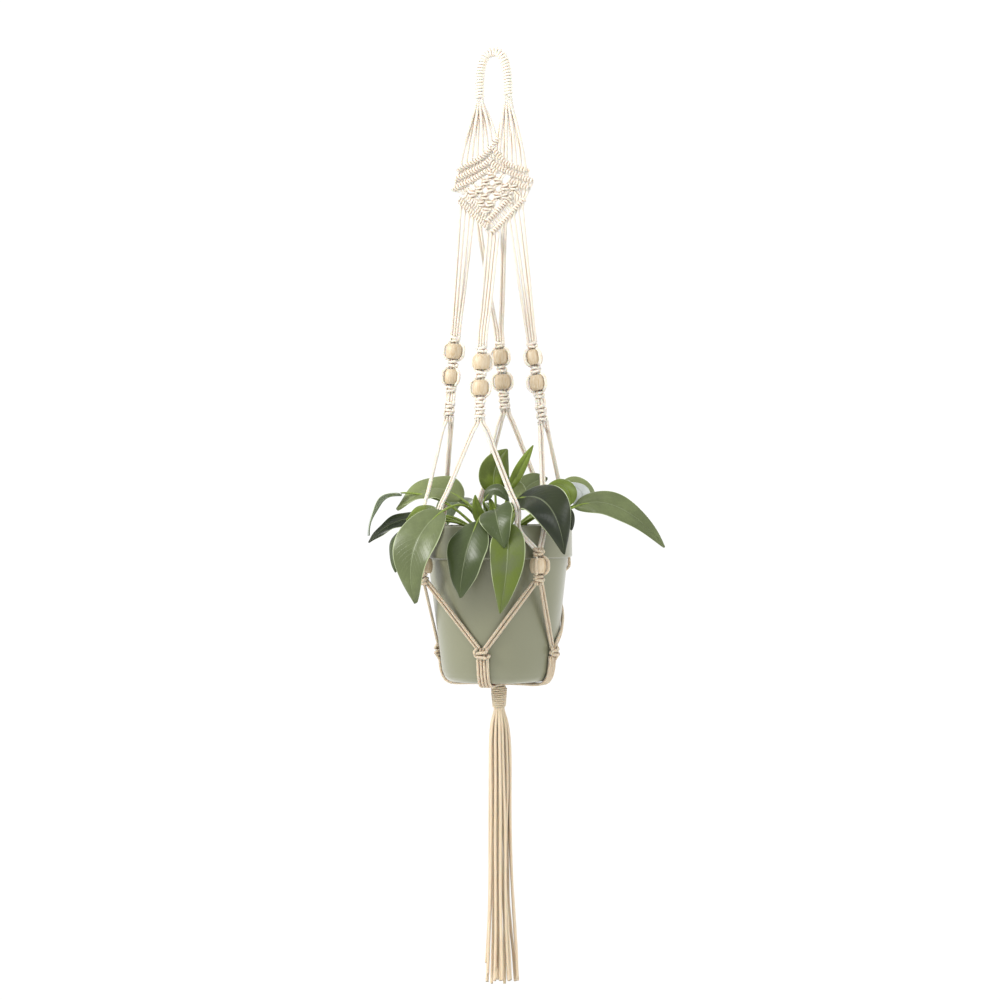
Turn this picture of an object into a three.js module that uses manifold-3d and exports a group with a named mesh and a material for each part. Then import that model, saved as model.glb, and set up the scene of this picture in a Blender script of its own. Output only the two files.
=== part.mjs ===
// Hanging macrame planter: a knotted cotton hanger, wooden beads, a pot, its soil and a leafy plant.
// Millimetres, +Z up. The origin is the inside top of the hanging loop, where a hook bears.
import * as THREE from 'three';
import { mergeVertices } from 'three/addons/utils/BufferGeometryUtils.js';
import Module from 'manifold-3d';

const wasm = await Module();
wasm.setup();

// ---- Driving dimensions ----
const CORD = 3.6;                 // one twisted cotton cord
const GAP = 0.3;                  // between pieces that touch
const PAIR_WIDTH = 2 * CORD + 0.2;
const RUN_WIDTH = 4 * CORD + 0.2;

const WRAP_OUTER = 11.2;          // over the wrapping of the hanging loop
const WRAP_BORE = 7.4;
const CORE = 6.8;                 // the bundle of folded cords inside the wrapping
const LOOP_HALF = 16.5;           // half width of the loop, to its centreline
const WRAP_END_Z = -45;

const HITCH_WIDTH = 6.4;          // one row of double half hitches, seen from the front
const HITCH_DEPTH = 7;

const BEAD = 19;                  // bead diameter
const BEAD_HEIGHT = 17;
const BEAD_BORE = 8.4;
const BEAD_CORE = 7;              // the two cords that run through a bead
const BEAD_PITCH = 28.7;          // from the upper bead of a strand to the lower one
const BEAD_CLEAR = BEAD_HEIGHT / 2 + 1.8;       // from a bead's middle to the knot next to it

const RIM_Z = -525;               // pot
const RIM_RADIUS = 83.5;
const COLLAR_BOTTOM_Z = -561;
const BODY_TOP_RADIUS = 78.5;
const BASE_Z = -699;
const BASE_RADIUS = 62;
const BASE_ROUND = 10;
const WALL = 3;
const SOIL_Z = -534;

const BEND_Z = RIM_Z + 15;        // the arms run upright from here down past the rim
const ARM_RADIUS = RIM_RADIUS + CORD / 2 + 1.2;
const NET_BEAD_Z = -568.5;
const NET_END_Z = -587;
const NET_RADIUS = 93.6;
const BASE_KNOT_Z = -668;         // the knots low on the pot's side

const GATHER_TOP_Z = -705.5;
const GATHER_BOTTOM_Z = -730;
const SWING_Z = -736;             // the tassel swings about this height
const TASSEL_TOP_Z = -742;
const TASSEL_END_Z = -1039;

const deg = THREE.MathUtils.degToRad;
const v = (x, y, z) => new THREE.Vector3(x, y, z);

// Each strand: its heading round the pot, the middle of its upper bead, the point where it splits into
// two pairs, and the stretches below the lower bead that are knotted, measured from that bead.
const STRANDS = {
  left: { angle: 180, bead: v(-48.8, 0, -329), split: v(-55.8, 0, -402), knots: [[10.4, 17], [28, 44]] },
  front: { angle: 270, bead: v(-4, -47, -345), split: v(-5, -54, -417), knots: [[10.4, 34]] },
  back: { angle: 90, bead: v(-7, 47, -333), split: v(-3.6, 54, -400), knots: [[10.4, 32]] },
  right: { angle: 0, bead: v(44, 0, -338), split: v(53.9, 0, -412), knots: [[10.4, 16], [25, 44]] },
};

// Each knot on the rim: its heading, and the heading at which the pair from each neighbouring strand
// comes over the rim.
const NET_KNOTS = {
  front_right: { angle: 313, from: { front: 300, right: 321 } },
  back_right: { angle: 56, from: { right: 42, back: 63 } },
  back_left: { angle: 135, from: { back: 120, left: 150 } },
  front_left: { angle: 225, from: { left: 213, front: 237 } },
};

// Each knot low on the pot: its heading and the two rim knots above it.
const BASE_KNOTS = {
  front: { angle: 270, over: ['front_left', 'front_right'] },
  right: { angle: 346, over: ['front_right', 'back_right'] },
  back: { angle: 90, over: ['back_right', 'back_left'] },
  left: { angle: 180, over: ['back_left', 'front_left'] },
};

// Each leaf: the points of its stalk from the crown, then of its midrib to the tip, the blade's width and
// the direction that its upper face looks in.
const LEAVES = [
  { stalk: [v(-12, -8, -532), v(-60, -15, -498), v(-107, -16, -488)],
    rib: [v(-107, -16, -488), v(-132, -24, -500), v(-143, -33, -536)], width: 26, face: v(-0.7, 0, 0.7) },
  { stalk: [v(-10, -6, -532), v(-26, -10, -506), v(-38, -10, -496)],
    rib: [v(-38, -10, -496), v(-76, -6, -484), v(-113, -20, -506)], width: 42, face: v(-0.1, -0.6, 0.75) },
  { stalk: [v(-14, -12, -532), v(-50, -22, -515), v(-78, -26, -517)],
    rib: [v(-78, -26, -517), v(-110, -33, -521), v(-138, -45, -543)], width: 26, face: v(-0.1, -0.6, 0.75) },
  { stalk: [v(-8, -14, -532), v(-24, -62, -502), v(-37, -88, -508)],
    rib: [v(-37, -88, -508), v(-67, -112, -546), v(-65, -107, -609)], width: 56, face: v(-0.4, -1, 0.25) },
  { stalk: [v(-14, -10, -532), v(-60, -35, -516), v(-86, -38, -524)],
    rib: [v(-86, -38, -524), v(-108, -44, -546), v(-106, -46, -577)], width: 24, face: v(-0.8, -0.6, 0.3) },
  { stalk: [v(-6, -16, -532), v(0, -60, -514), v(1, -84, -519)],
    rib: [v(1, -84, -519), v(-9, -101, -558), v(-17, -97, -603)], width: 47, face: v(-0.15, -1, 0.2) },
  { stalk: [v(8, -14, -532), v(27, -55, -514), v(32, -83, -522)],
    rib: [v(32, -83, -522), v(34, -98, -562), v(24, -94, -620)], width: 39, face: v(0.15, -1, 0.15) },
  { stalk: [v(4, -14, -532), v(8, -42, -510), v(16, -68, -507)],
    rib: [v(16, -68, -507), v(26, -92, -516), v(34, -99, -549)], width: 36, face: v(0, -0.6, 0.8) },
  { stalk: [v(10, -8, -532), v(22, -26, -504), v(32, -40, -497)],
    rib: [v(32, -40, -497), v(76, -72, -503), v(92, -62, -557)], width: 44, face: v(0.4, -0.9, 0.45) },
  { stalk: [v(-2, 2, -532), v(-2, 0, -506), v(-2, -2, -490)],
    rib: [v(-2, -2, -490), v(-3, -8, -463), v(10, -7, -440)], width: 34, face: v(0.1, -1, 0.1) },
  { stalk: [v(6, 0, -532), v(10, -4, -504), v(16, -6, -486)],
    rib: [v(16, -6, -486), v(29, -6, -461), v(43, -3, -436)], width: 12, face: v(0.7, -0.6, 0) },
  { stalk: [v(8, 8, -532), v(14, 18, -504), v(20, 22, -494)],
    rib: [v(20, 22, -494), v(30, 34, -480), v(48, 42, -472)], width: 30, face: v(0, -0.9, 0.4) },
  { stalk: [v(12, 4, -532), v(50, 14, -512), v(80, 15, -504)],
    rib: [v(80, 15, -504), v(76, 10, -484), v(57, 4, -481)], width: 20, face: v(0.5, -0.8, 0.4) },
  { stalk: [v(10, 10, -532), v(52, 26, -510), v(80, 33, -504)],
    rib: [v(80, 33, -504), v(88, 41, -490), v(68, 40, -477)], width: 20, face: v(0.5, -0.8, 0.5) },
  { stalk: [v(14, 2, -532), v(52, 10, -508), v(84, 17, -506)],
    rib: [v(84, 17, -506), v(134, 19, -506), v(187, 19, -551)], width: 30, face: v(0.1, -0.9, 0.5) },
  { stalk: [v(0, 14, -532), v(-10, 50, -508), v(-16, 74, -508)],
    rib: [v(-16, 74, -508), v(-24, 104, -510), v(-28, 112, -560)], width: 42, face: v(-0.2, 0.8, 0.5) },
  { stalk: [v(8, 14, -532), v(12, 44, -508), v(16, 70, -506)],
    rib: [v(16, 70, -506), v(24, 100, -504), v(36, 112, -548)], width: 36, face: v(0.2, 0.8, 0.5) },
  { stalk: [v(-8, 12, -532), v(-30, 36, -506), v(-48, 54, -502)],
    rib: [v(-48, 54, -502), v(-78, 84, -498), v(-98, 96, -540)], width: 36, face: v(-0.5, 0.6, 0.6) },
];

// ---- Materials ----
const finish = (color, roughness) => new THREE.MeshStandardMaterial({ color, roughness, metalness: 0 });
const COTTON = finish('#f3ead8', 0.95);
const WOOD = finish('#e3cda6', 0.55);
const CLAY = finish('#a3a68a', 0.6);
const SOIL = finish('#2b241d', 1);
const LEAF = finish('#46602f', 0.4);

// ---- Shapes ----
/** A route that is sampled exactly at each of its points. */
class Route extends THREE.Curve {
  constructor(points) {
    super();
    this.points = points;
  }

  getPoint(t, target = new THREE.Vector3()) {
    const at = THREE.MathUtils.clamp(t, 0, 1) * (this.points.length - 1);
    const i = Math.min(Math.floor(at), this.points.length - 2);
    return target.lerpVectors(this.points[i], this.points[i + 1], at - i);
  }

  getPointAt(u, target) {
    return this.getPoint(u, target);
  }

  getTangentAt(u, target = new THREE.Vector3()) {
    const half = 0.5 / (this.points.length - 1);
    return target.copy(this.getPoint(u + half)).sub(this.getPoint(u - half)).normalize();
  }
}

const ring = (radius, sides = 8) => Array.from({ length: sides }, (_, i) => {
  const turn = (2 * Math.PI * i) / sides;
  return new THREE.Vector2(radius * Math.cos(turn), radius * Math.sin(turn));
});

const flat = (width, height) => {
  const x = width / 2;
  const y = height / 2;
  return [[x, y * 0.45], [x - y * 0.55, y], [y * 0.55 - x, y], [-x, y * 0.45],
    [-x, -y * 0.45], [y * 0.55 - x, -y], [x - y * 0.55, -y], [x, -y * 0.45]]
    .map(([a, b]) => new THREE.Vector2(a, b));
};

/** A section swept through points; `wide` is the direction of a flat section's broad side at the start. */
function sweep(points, outline, { wide, bore } = {}) {
  const route = new Route(points);
  const steps = points.length - 1;
  let section = outline;
  if (wide) {
    const frames = route.computeFrenetFrames(steps, false);
    const turn = Math.atan2(wide.dot(frames.binormals[0]), wide.dot(frames.normals[0]));
    section = outline.map((p) => p.clone().rotateAround(new THREE.Vector2(), turn));
  }
  const shape = new THREE.Shape(section);
  if (bore) shape.holes.push(new THREE.Path(bore));
  return new THREE.ExtrudeGeometry(shape, { steps, extrudePath: route });
}

const cord = (...points) => sweep(points, ring(CORD / 2, 6));

/** A closed turned solid from [radius, height] pairs, about the Z axis. */
function turned(profile, sides) {
  const points = profile.map(([r, z]) => new THREE.Vector2(r, z));
  if (THREE.ShapeUtils.area(points) < 0) points.reverse();
  return new THREE.LatheGeometry(points, sides).rotateX(Math.PI / 2);
}

function solid(geometry) {
  const bare = geometry.clone();
  bare.deleteAttribute('normal');
  bare.deleteAttribute('uv');
  const merged = mergeVertices(bare, 1e-3);
  return new wasm.Manifold(new wasm.Mesh({
    numProp: 3,
    vertProperties: new Float32Array(merged.attributes.position.array),
    triVerts: new Uint32Array(merged.index.array),
  }));
}

/** Several closed shapes joined into one body. */
function join(shapes) {
  const whole = shapes.map(solid).reduce((sum, next) => sum.add(next));
  const { vertProperties, triVerts } = whole.getMesh();
  const geometry = new THREE.BufferGeometry();
  geometry.setAttribute('position', new THREE.BufferAttribute(vertProperties, 3));
  geometry.setIndex(new THREE.BufferAttribute(triVerts, 1));
  geometry.computeVertexNormals();
  return geometry;
}

const planter = new THREE.Group();

function add(name, geometry, material) {
  const mesh = new THREE.Mesh(geometry, material);
  mesh.name = name;
  planter.add(mesh);
  return mesh;
}

const heading = (angle) => v(Math.cos(deg(angle)), Math.sin(deg(angle)), 0);
const polar = (angle, radius, z) => heading(angle).multiplyScalar(radius).setZ(z);

/** The pot's outer radius at a height, without the rounding at its base. */
const potRadius = (z) => THREE.MathUtils.mapLinear(z, COLLAR_BOTTOM_Z, BASE_Z, BODY_TOP_RADIUS, BASE_RADIUS);

/** A knot as a short flattened block about an axis from `from` to `to`. */
const knot = (from, to, across, width = 12.4, depth = 8) =>
  sweep([from, to], flat(width, depth), { wide: across });

// ---- Hanging loop ----
const archSide = [[11, -1.2], [14.2, -10], [15.8, -20], [LOOP_HALF, -32], [LOOP_HALF, WRAP_END_Z]];
const arch = [
  ...archSide.map(([x, z]) => v(-x, 0, z)).reverse(),
  v(-6, 0, 4.3), v(0, 0, WRAP_OUTER / 2), v(6, 0, 4.3),
  ...archSide.map(([x, z]) => v(x, 0, z)),
];
add('loop_wrapping', sweep(arch, ring(WRAP_OUTER / 2, 10), { bore: ring(WRAP_BORE / 2) }), COTTON);
add('loop_core_cords', sweep(arch, ring(CORE / 2)), COTTON);

// ---- Fans of eight cords, from each end of the wrapping to the upper rows of the diamond ----
const FAN_ENDS = { left: [v(-41, 0, -117.6), v(-1, 0, -89.6)], right: [v(37, 0, -124), v(11, 0, -107)] };
for (const [side, [outer, inner]] of Object.entries(FAN_ENDS)) {
  const start = v(Math.sign(outer.x) * LOOP_HALF, 0, WRAP_END_Z - 3 * GAP);
  const cords = Array.from({ length: 8 }, (_, i) => {
    const share = i / 7;
    const from = start.clone().setX(start.x + Math.sign(start.x) * (0.5 - share) * 2.6);
    return cord(from, outer.clone().lerp(inner, share));
  });
  add(`fan_${side}`, join(cords), COTTON);
}

// ---- Diamond: rows of double half hitches round a lattice of square knots ----
const HITCH_ROWS = {
  upper_left_1: [v(5.6, 0, -91), v(-9.5, 0, -108), v(-42, 0, -124.5)],
  upper_left_2: [v(-7, 0, -118), v(-26, 0, -127.5), v(-46, 0, -135.5)],
  upper_left_3: [v(-9, 0, -128), v(-28, 0, -138), v(-48, 0, -146.5)],
  upper_right_1: [v(4, 0, -108.5), v(13.6, 0, -119), v(38, 0, -130)],
  upper_right_2: [v(1, 0, -121.5), v(20, 0, -131.5), v(44, 0, -141.5)],
  upper_right_3: [v(18, 0, -139), v(29, 0, -145), v(40, 0, -149.5)],
  lower_left_1: [v(-34, 0, -152.6), v(-10, 0, -176)],
  lower_left_2: [v(-42, 0, -157), v(-9, 0, -190.7)],
  lower_right_1: [v(18.5, 0, -158), v(-5.5, 0, -181)],
  lower_right_2: [v(33.6, 0, -161.5), v(0, 0, -194)],
};
for (const [name, points] of Object.entries(HITCH_ROWS)) {
  const across = points[0].clone().sub(points[1]).cross(v(0, 1, 0)).normalize();
  add(`hitch_row_${name}`, sweep(points, flat(HITCH_WIDTH, HITCH_DEPTH), { wide: across }), COTTON);
}

const LATTICE = [
  v(-2, 0, -135.5), v(0, 0, -145), v(-13.5, 0, -148), v(8, 0, -151), v(-3, 0, -158), v(-8.8, 0, -164),
];
const LATTICE_CORDS = [[0, 1], [0, 2], [1, 3], [1, 4], [2, 4], [2, 5], [3, 4], [4, 5]];
add('diamond_lattice', join([
  ...LATTICE.map((p) => knot(p.clone().setZ(p.z + 3), p.clone().setZ(p.z - 3), v(1, 0, 0), 8.6, 6)),
  ...LATTICE_CORDS.map(([a, b]) => cord(LATTICE[a], LATTICE[b])),
]), COTTON);

// ---- Strands: four cords each, from under the diamond to the knot over the upper bead ----
const STRAND_TOPS = {
  left: [[-40, -166.5], [-35.2, -171.5], [-30.4, -176.5], [-25.6, -181.5]],
  back: [[-20.8, -185.5], [-16.9, -189], [8.3, -192.5], [12.4, -188.5]],
  front: [[-8.6, -198.5], [-4.6, -201], [-0.6, -203.5], [3.6, -200]],
  right: [[17, -184], [22, -179.5], [27, -174.5], [32, -170]],
};
const KNOT_HALF = 3.2;

/**
 * The two cords that pass outside a bead, from the knot before it to the knot after it. `at` gives the
 * point at a distance along the bead's axis and aside from it; `free` leaves them clear of the first knot.
 */
const outside = (at, free) => [-1, 1].map((hand) => cord(
  free ? at(GAP + 0.1 - BEAD_CLEAR, hand * 7.4) : at(-BEAD_CLEAR - 1, hand * 5.2),
  at(-8.4, hand * 8),
  at(-4.7, hand * 11.4),
  at(0, hand * 11.8),
  at(4.7, hand * 11.4),
  at(8.4, hand * 8),
  at(BEAD_CLEAR + 1, hand * 5.2),
));

for (const [side, { bead, split, knots }] of Object.entries(STRANDS)) {
  const down = split.clone().sub(bead).normalize();
  const across = v(1, 0, 0).addScaledVector(down, -down.x).normalize();
  const along = (distance, aside = 0) => bead.clone().addScaledVector(down, distance).addScaledVector(across, aside);

  add(`strand_${side}`, join([
    knot(along(-BEAD_CLEAR - 2 * KNOT_HALF), along(-BEAD_CLEAR), across),
    ...STRAND_TOPS[side].map(([x, z], i) => cord(
      v(x, 0, z),
      along(-BEAD_CLEAR - 2 * KNOT_HALF - 1, (i - 1.5) * (CORD - 0.3)),
      along(-BEAD_CLEAR - KNOT_HALF, (i - 1.5) * (CORD - 0.8)),
    )),
  ]), COTTON);

  const end = BEAD_PITCH + knots.at(-1)[1];
  add(`sinnet_${side}`, join([
    sweep([along(GAP - BEAD_CLEAR), along(end)], ring(BEAD_CORE / 2)),
    ...outside(along, true),
    knot(along(BEAD_CLEAR), along(BEAD_PITCH - BEAD_CLEAR), across),
    ...outside((distance, aside) => along(BEAD_PITCH + distance, aside), false),
    ...knots.map(([from, to]) => knot(along(BEAD_PITCH + from), along(BEAD_PITCH + to), across, 11, 8.6)),
  ]), COTTON);
  STRANDS[side].end = along(end + 2.4);

  addBead(`bead_${side}_upper`, bead, down);
  addBead(`bead_${side}_lower`, along(BEAD_PITCH), down);
}

/** One barrel bead, turned so that its bore follows `axis`. */
function addBead(name, centre, axis) {
  const h = BEAD_HEIGHT / 2;
  const r = BEAD / 2;
  const bore = BEAD_BORE / 2;
  const side = [[bore, -h], [r * 0.5, -h], [r * 0.9, -h * 0.55], [r, 0], [r * 0.9, h * 0.55], [r * 0.5, h]];
  const mesh = add(name, turned([...side, [bore, h], [bore, -h]], 8), WOOD);
  mesh.position.copy(centre);
  mesh.quaternion.setFromUnitVectors(v(0, 0, 1), axis.clone().negate());
}

// ---- Arms: two pairs of cords from each strand, bending over the rim to the knots on it ----
const pairAcross = (points, side) => {
  const run = points[1].clone().sub(points[0]).normalize();
  return side.clone().addScaledVector(run, -run.dot(side)).normalize();
};

for (const [side, { end }] of Object.entries(STRANDS)) {
  const pairs = Object.values(NET_KNOTS).filter(({ from }) => side in from).map(({ angle, from }) => {
    const rim = from[side];
    const hand = Math.sign(Math.sin(deg(rim - angle)));
    const knotTop = polar(angle, NET_RADIUS - 1, NET_BEAD_Z + BEAD_CLEAR + 2 * KNOT_HALF + 2.8);
    const points = [
      end,
      polar(rim, ARM_RADIUS, BEND_Z),
      polar(rim, ARM_RADIUS, RIM_Z - 2),
      knotTop.addScaledVector(heading(angle + 90), hand * 3.4),
    ];
    return sweep(points, flat(PAIR_WIDTH, CORD), { wide: pairAcross(points, heading(rim + 90)) });
  });
  add(`arm_pairs_${side}`, join(pairs), COTTON);
}

// ---- Rim knots: a knot, a bead and a knot where two pairs meet ----
for (const [name, net] of Object.entries(NET_KNOTS)) {
  const across = heading(net.angle + 90);
  const axis = (distance) => polar(net.angle, NET_RADIUS, NET_BEAD_Z - distance);
  const at = (distance, aside = 0) => axis(distance).addScaledVector(across, aside);
  const below = NET_BEAD_Z - NET_END_Z;
  add(`rim_knots_${name}`, join([
    knot(at(-BEAD_CLEAR - 2 * KNOT_HALF), at(-BEAD_CLEAR), across, 13),
    sweep([at(-BEAD_CLEAR - 1), at(below - 1)], ring(BEAD_CORE / 2)),
    ...outside(at, false),
    knot(at(BEAD_CLEAR), at(below), across, 13),
  ]), COTTON);
  addBead(`bead_rim_${name}`, at(0), v(0, 0, -1));
}

// ---- Net pairs: from each rim knot, two pairs drawn along the pot to the knots low on its side ----
const NET_STEPS = 14;
const LAID = CORD / 2 + 1;        // a laid cord's middle from the pot's surface
for (const [name, net] of Object.entries(NET_KNOTS)) {
  const pairs = Object.values(BASE_KNOTS).filter(({ over }) => over.includes(name)).map((base) => {
    const turn = THREE.MathUtils.euclideanModulo(base.angle - net.angle + 180, 360) - 180;
    const hand = Math.sign(turn);
    const points = Array.from({ length: NET_STEPS + 1 }, (_, i) => {
      const share = i / NET_STEPS;
      const z = THREE.MathUtils.lerp(NET_END_Z - 2.8, BASE_KNOT_Z + 9.8, share);
      const aside = THREE.MathUtils.lerp(hand * 2, -hand * 3.4, share);
      const angle = net.angle + turn * share;
      const laid = potRadius(z) + LAID;
      const radius = Math.max(laid, THREE.MathUtils.lerp(NET_RADIUS - 1, laid, share * 3));
      return polar(angle, radius, z).addScaledVector(heading(angle + 90), aside);
    });
    return sweep(points, flat(PAIR_WIDTH, CORD), { wide: pairAcross(points, heading(net.angle + 90)) });
  });
  add(`net_pairs_${name}`, join(pairs), COTTON);
}

// ---- Base knots, and the four cords that run from each one under the pot ----
for (const [side, { angle }] of Object.entries(BASE_KNOTS)) {
  const across = heading(angle + 90);
  const on = (z, lift = LAID) => polar(angle, potRadius(z) + lift, z);
  const knotTop = BASE_KNOT_Z + 7;
  const knotEnd = BASE_KNOT_Z - 4;
  const low = BASE_Z - LAID;
  const cornerRadius = BASE_RADIUS - BASE_ROUND;
  const corner = [0.25, 0.55, 0.8, 1].map((share) => {
    const turn = (share * Math.PI) / 2;
    const reach = BASE_ROUND + LAID;
    return polar(angle, cornerRadius + reach * Math.cos(turn), BASE_Z + BASE_ROUND - reach * Math.sin(turn));
  });
  const points = [on(knotEnd + 2), on(BASE_Z + BASE_ROUND + 6), ...corner, polar(angle, 10.4, low)];
  add(`base_cords_${side}`, join([
    knot(on(knotTop, 4.4), on(knotEnd, 4.4), across, RUN_WIDTH + 3, 7),
    sweep(points, flat(RUN_WIDTH, CORD), { wide: across }),
  ]), COTTON);
}

// ---- Gather under the pot, and the tassel ----
const gatherCore = [
  [0, BASE_Z - 0.6], [9.4, BASE_Z - 0.6], [9.4, BASE_Z - 4.4],
  [6.2, GATHER_TOP_Z + GAP], [6.2, GATHER_BOTTOM_Z + GAP], [0, GATHER_BOTTOM_Z + GAP],
];
add('gather_core_cords', turned(gatherCore, 12), COTTON);

const gatherWrap = [
  [6.6, GATHER_TOP_Z], [9.4, GATHER_TOP_Z - 1], [9, GATHER_TOP_Z - 12],
  [7.6, GATHER_BOTTOM_Z + 1], [6.6, GATHER_BOTTOM_Z], [6.6, GATHER_TOP_Z],
];
add('gather_wrapping', turned(gatherWrap, 12), COTTON);

const NECK = 5.4;
const neck = Array.from({ length: 7 }, (_, i) => {
  const turn = (Math.PI * i) / 6;
  return [NECK * Math.sin(turn), SWING_Z + NECK * Math.cos(turn)];
});
neck[0][0] = 0;
neck[6][0] = 0;
add('tassel_neck', turned(neck, 10), COTTON);

const tassel = [
  [0, TASSEL_TOP_Z], [6.4, TASSEL_TOP_Z], [10.5, TASSEL_TOP_Z - 24], [12, -850], [13.5, -940],
  [18, TASSEL_END_Z + 4], [16.5, TASSEL_END_Z], [0, TASSEL_END_Z],
];
add('tassel_cords', turned(tassel, 14), COTTON);

// ---- Pot, soil and plant ----
const POT_SIDES = 32;
const round = [0, 0.4, 0.75, 1].map((share) => {
  const turn = (share * Math.PI) / 2;
  const [across, down] = [BASE_ROUND * Math.cos(turn), BASE_ROUND * Math.sin(turn)];
  return [BASE_RADIUS - BASE_ROUND + across, BASE_Z + BASE_ROUND - down];
});
const inner = (z) => potRadius(z) - WALL;
const pot = [
  [0, BASE_Z + WALL], [BASE_RADIUS - BASE_ROUND, BASE_Z + WALL],
  [inner(BASE_Z + BASE_ROUND), BASE_Z + BASE_ROUND], [inner(COLLAR_BOTTOM_Z) - 1, COLLAR_BOTTOM_Z],
  [RIM_RADIUS - WALL, COLLAR_BOTTOM_Z + 6], [RIM_RADIUS - WALL, RIM_Z], [RIM_RADIUS, RIM_Z],
  [RIM_RADIUS, COLLAR_BOTTOM_Z], [BODY_TOP_RADIUS, COLLAR_BOTTOM_Z - 1.5], ...round, [0, BASE_Z],
];
add('pot', turned(pot, POT_SIDES), CLAY);

const soil = [
  [0, BASE_Z + WALL + GAP], [BASE_RADIUS - BASE_ROUND - 1, BASE_Z + WALL + GAP],
  [inner(BASE_Z + BASE_ROUND) - 1, BASE_Z + BASE_ROUND + 1], [inner(COLLAR_BOTTOM_Z) - 2, COLLAR_BOTTOM_Z + 1],
  [RIM_RADIUS - WALL - 1, COLLAR_BOTTOM_Z + 8], [RIM_RADIUS - WALL - 1, SOIL_Z], [0, SOIL_Z],
];
add('soil', turned(soil, POT_SIDES / 2), SOIL);

const LEAF_THICK = 1.2;
const bladeWidth = (t) => Math.max(0.05, Math.sin(Math.PI * t ** 0.75) ** 0.75);

/** The curve through a blade's base, middle and tip. */
function midrib([base, middle, tip]) {
  const control = middle.clone().multiplyScalar(2).addScaledVector(base, -0.5).addScaledVector(tip, -0.5);
  return new THREE.QuadraticBezierCurve3(base, control, tip);
}

/** A curved blade along its midrib, folded up a little along it. */
function blade(points, width, face) {
  const rib = midrib(points);
  const geometry = new THREE.BoxGeometry(1, 1, 1, 2, 4, 1);
  const place = geometry.attributes.position;
  for (let i = 0; i < place.count; i += 1) {
    const t = place.getY(i) + 0.5;
    const run = rib.getTangent(t);
    const side = run.clone().cross(face).normalize();
    const up = side.clone().cross(run).normalize();
    const out = place.getX(i) * width * bladeWidth(t);
    const at = rib.getPoint(t).addScaledVector(side, out);
    at.addScaledVector(up, Math.abs(out) * 0.22 + place.getZ(i) * LEAF_THICK);
    place.setXYZ(i, at.x, at.y, at.z);
  }
  return geometry;
}

/** A stalk from the crown that runs a little way into its blade. */
const stalk = (points, rib) => sweep([...points, midrib(rib).getPoint(0.1)], ring(1.3, 4));

const crown = new THREE.CylinderGeometry(13, 24, 8, 10).rotateX(Math.PI / 2).translate(0, 0, SOIL_Z + GAP + 4);
add('plant', join([
  crown,
  ...LEAVES.map(({ stalk: points, rib }) => stalk(points, rib)),
  ...LEAVES.map(({ rib, width, face }) => blade(rib, width, face)),
]), LEAF);

export default planter;
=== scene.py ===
import math
from random import Random

import bpy
import numpy as np
from mathutils import Matrix, Quaternion, Vector, noise
from mathutils.kdtree import KDTree


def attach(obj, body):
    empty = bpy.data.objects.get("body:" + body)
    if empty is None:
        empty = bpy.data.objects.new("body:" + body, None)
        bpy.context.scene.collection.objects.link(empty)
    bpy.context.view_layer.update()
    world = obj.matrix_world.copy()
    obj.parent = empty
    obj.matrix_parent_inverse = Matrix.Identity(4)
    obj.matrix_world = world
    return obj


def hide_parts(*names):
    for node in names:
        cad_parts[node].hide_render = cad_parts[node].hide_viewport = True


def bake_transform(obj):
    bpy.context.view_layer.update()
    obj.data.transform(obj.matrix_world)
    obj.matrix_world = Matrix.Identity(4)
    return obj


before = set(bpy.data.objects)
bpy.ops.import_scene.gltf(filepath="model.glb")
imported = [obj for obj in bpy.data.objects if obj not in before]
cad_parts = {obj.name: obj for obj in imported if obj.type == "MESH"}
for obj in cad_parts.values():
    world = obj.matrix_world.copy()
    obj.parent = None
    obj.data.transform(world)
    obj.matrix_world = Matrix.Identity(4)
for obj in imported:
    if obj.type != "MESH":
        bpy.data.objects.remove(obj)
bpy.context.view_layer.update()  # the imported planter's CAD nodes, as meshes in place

bl_info = {
    "name": "Hanging macrame planter",
    "version": (1, 0, 0),
    "blender": (4, 5, 0),
    "location": "View3D > Sidebar > Planter",
    "description": "Ties a cotton plant hanger with beads and a tassel round a pot and its plant",
    "category": "Object",
}

MM = 0.001

# ---- Sizes and places shared with the CAD model, in millimetres ----
CORD = 3.6                      # the room a cord takes beside its neighbours
WRAP_OUTER = 11.2
LOOP_HALF = 16.5
WRAP_END_Z = -45
BEAD_CLEAR = 10.3
BEAD_PITCH = 28.7
KNOT_TALL = 6.4
TIE_CORD = CORD * 0.95          # a cord is drawn tighter where it ties a knot
PAIR_ASIDE = 3.4                # from the middle of a knot to the middle of a pair of its cords
CORD_STEP, KNOT_STEP = 1.6, 1.2   # the length of a cord's segments, and of a knot's
RIM_Z, RIM_RADIUS = -525, 83.5
COLLAR_BOTTOM_Z, BODY_TOP_RADIUS = -561, 78.5
BASE_Z, BASE_RADIUS, BASE_ROUND, WALL = -699, 62, 10, 3
SOIL_Z = -534
BEND_Z = RIM_Z + 15
ARM_RADIUS = RIM_RADIUS + CORD / 2 + 1.2
NET_BEAD_Z, NET_END_Z, NET_RADIUS = -568.5, -587, 93.6
BASE_KNOT_Z = -668
GATHER_TOP_Z, GATHER_BOTTOM_Z = -705.5, -730
TASSEL_END_Z = -1039

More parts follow.
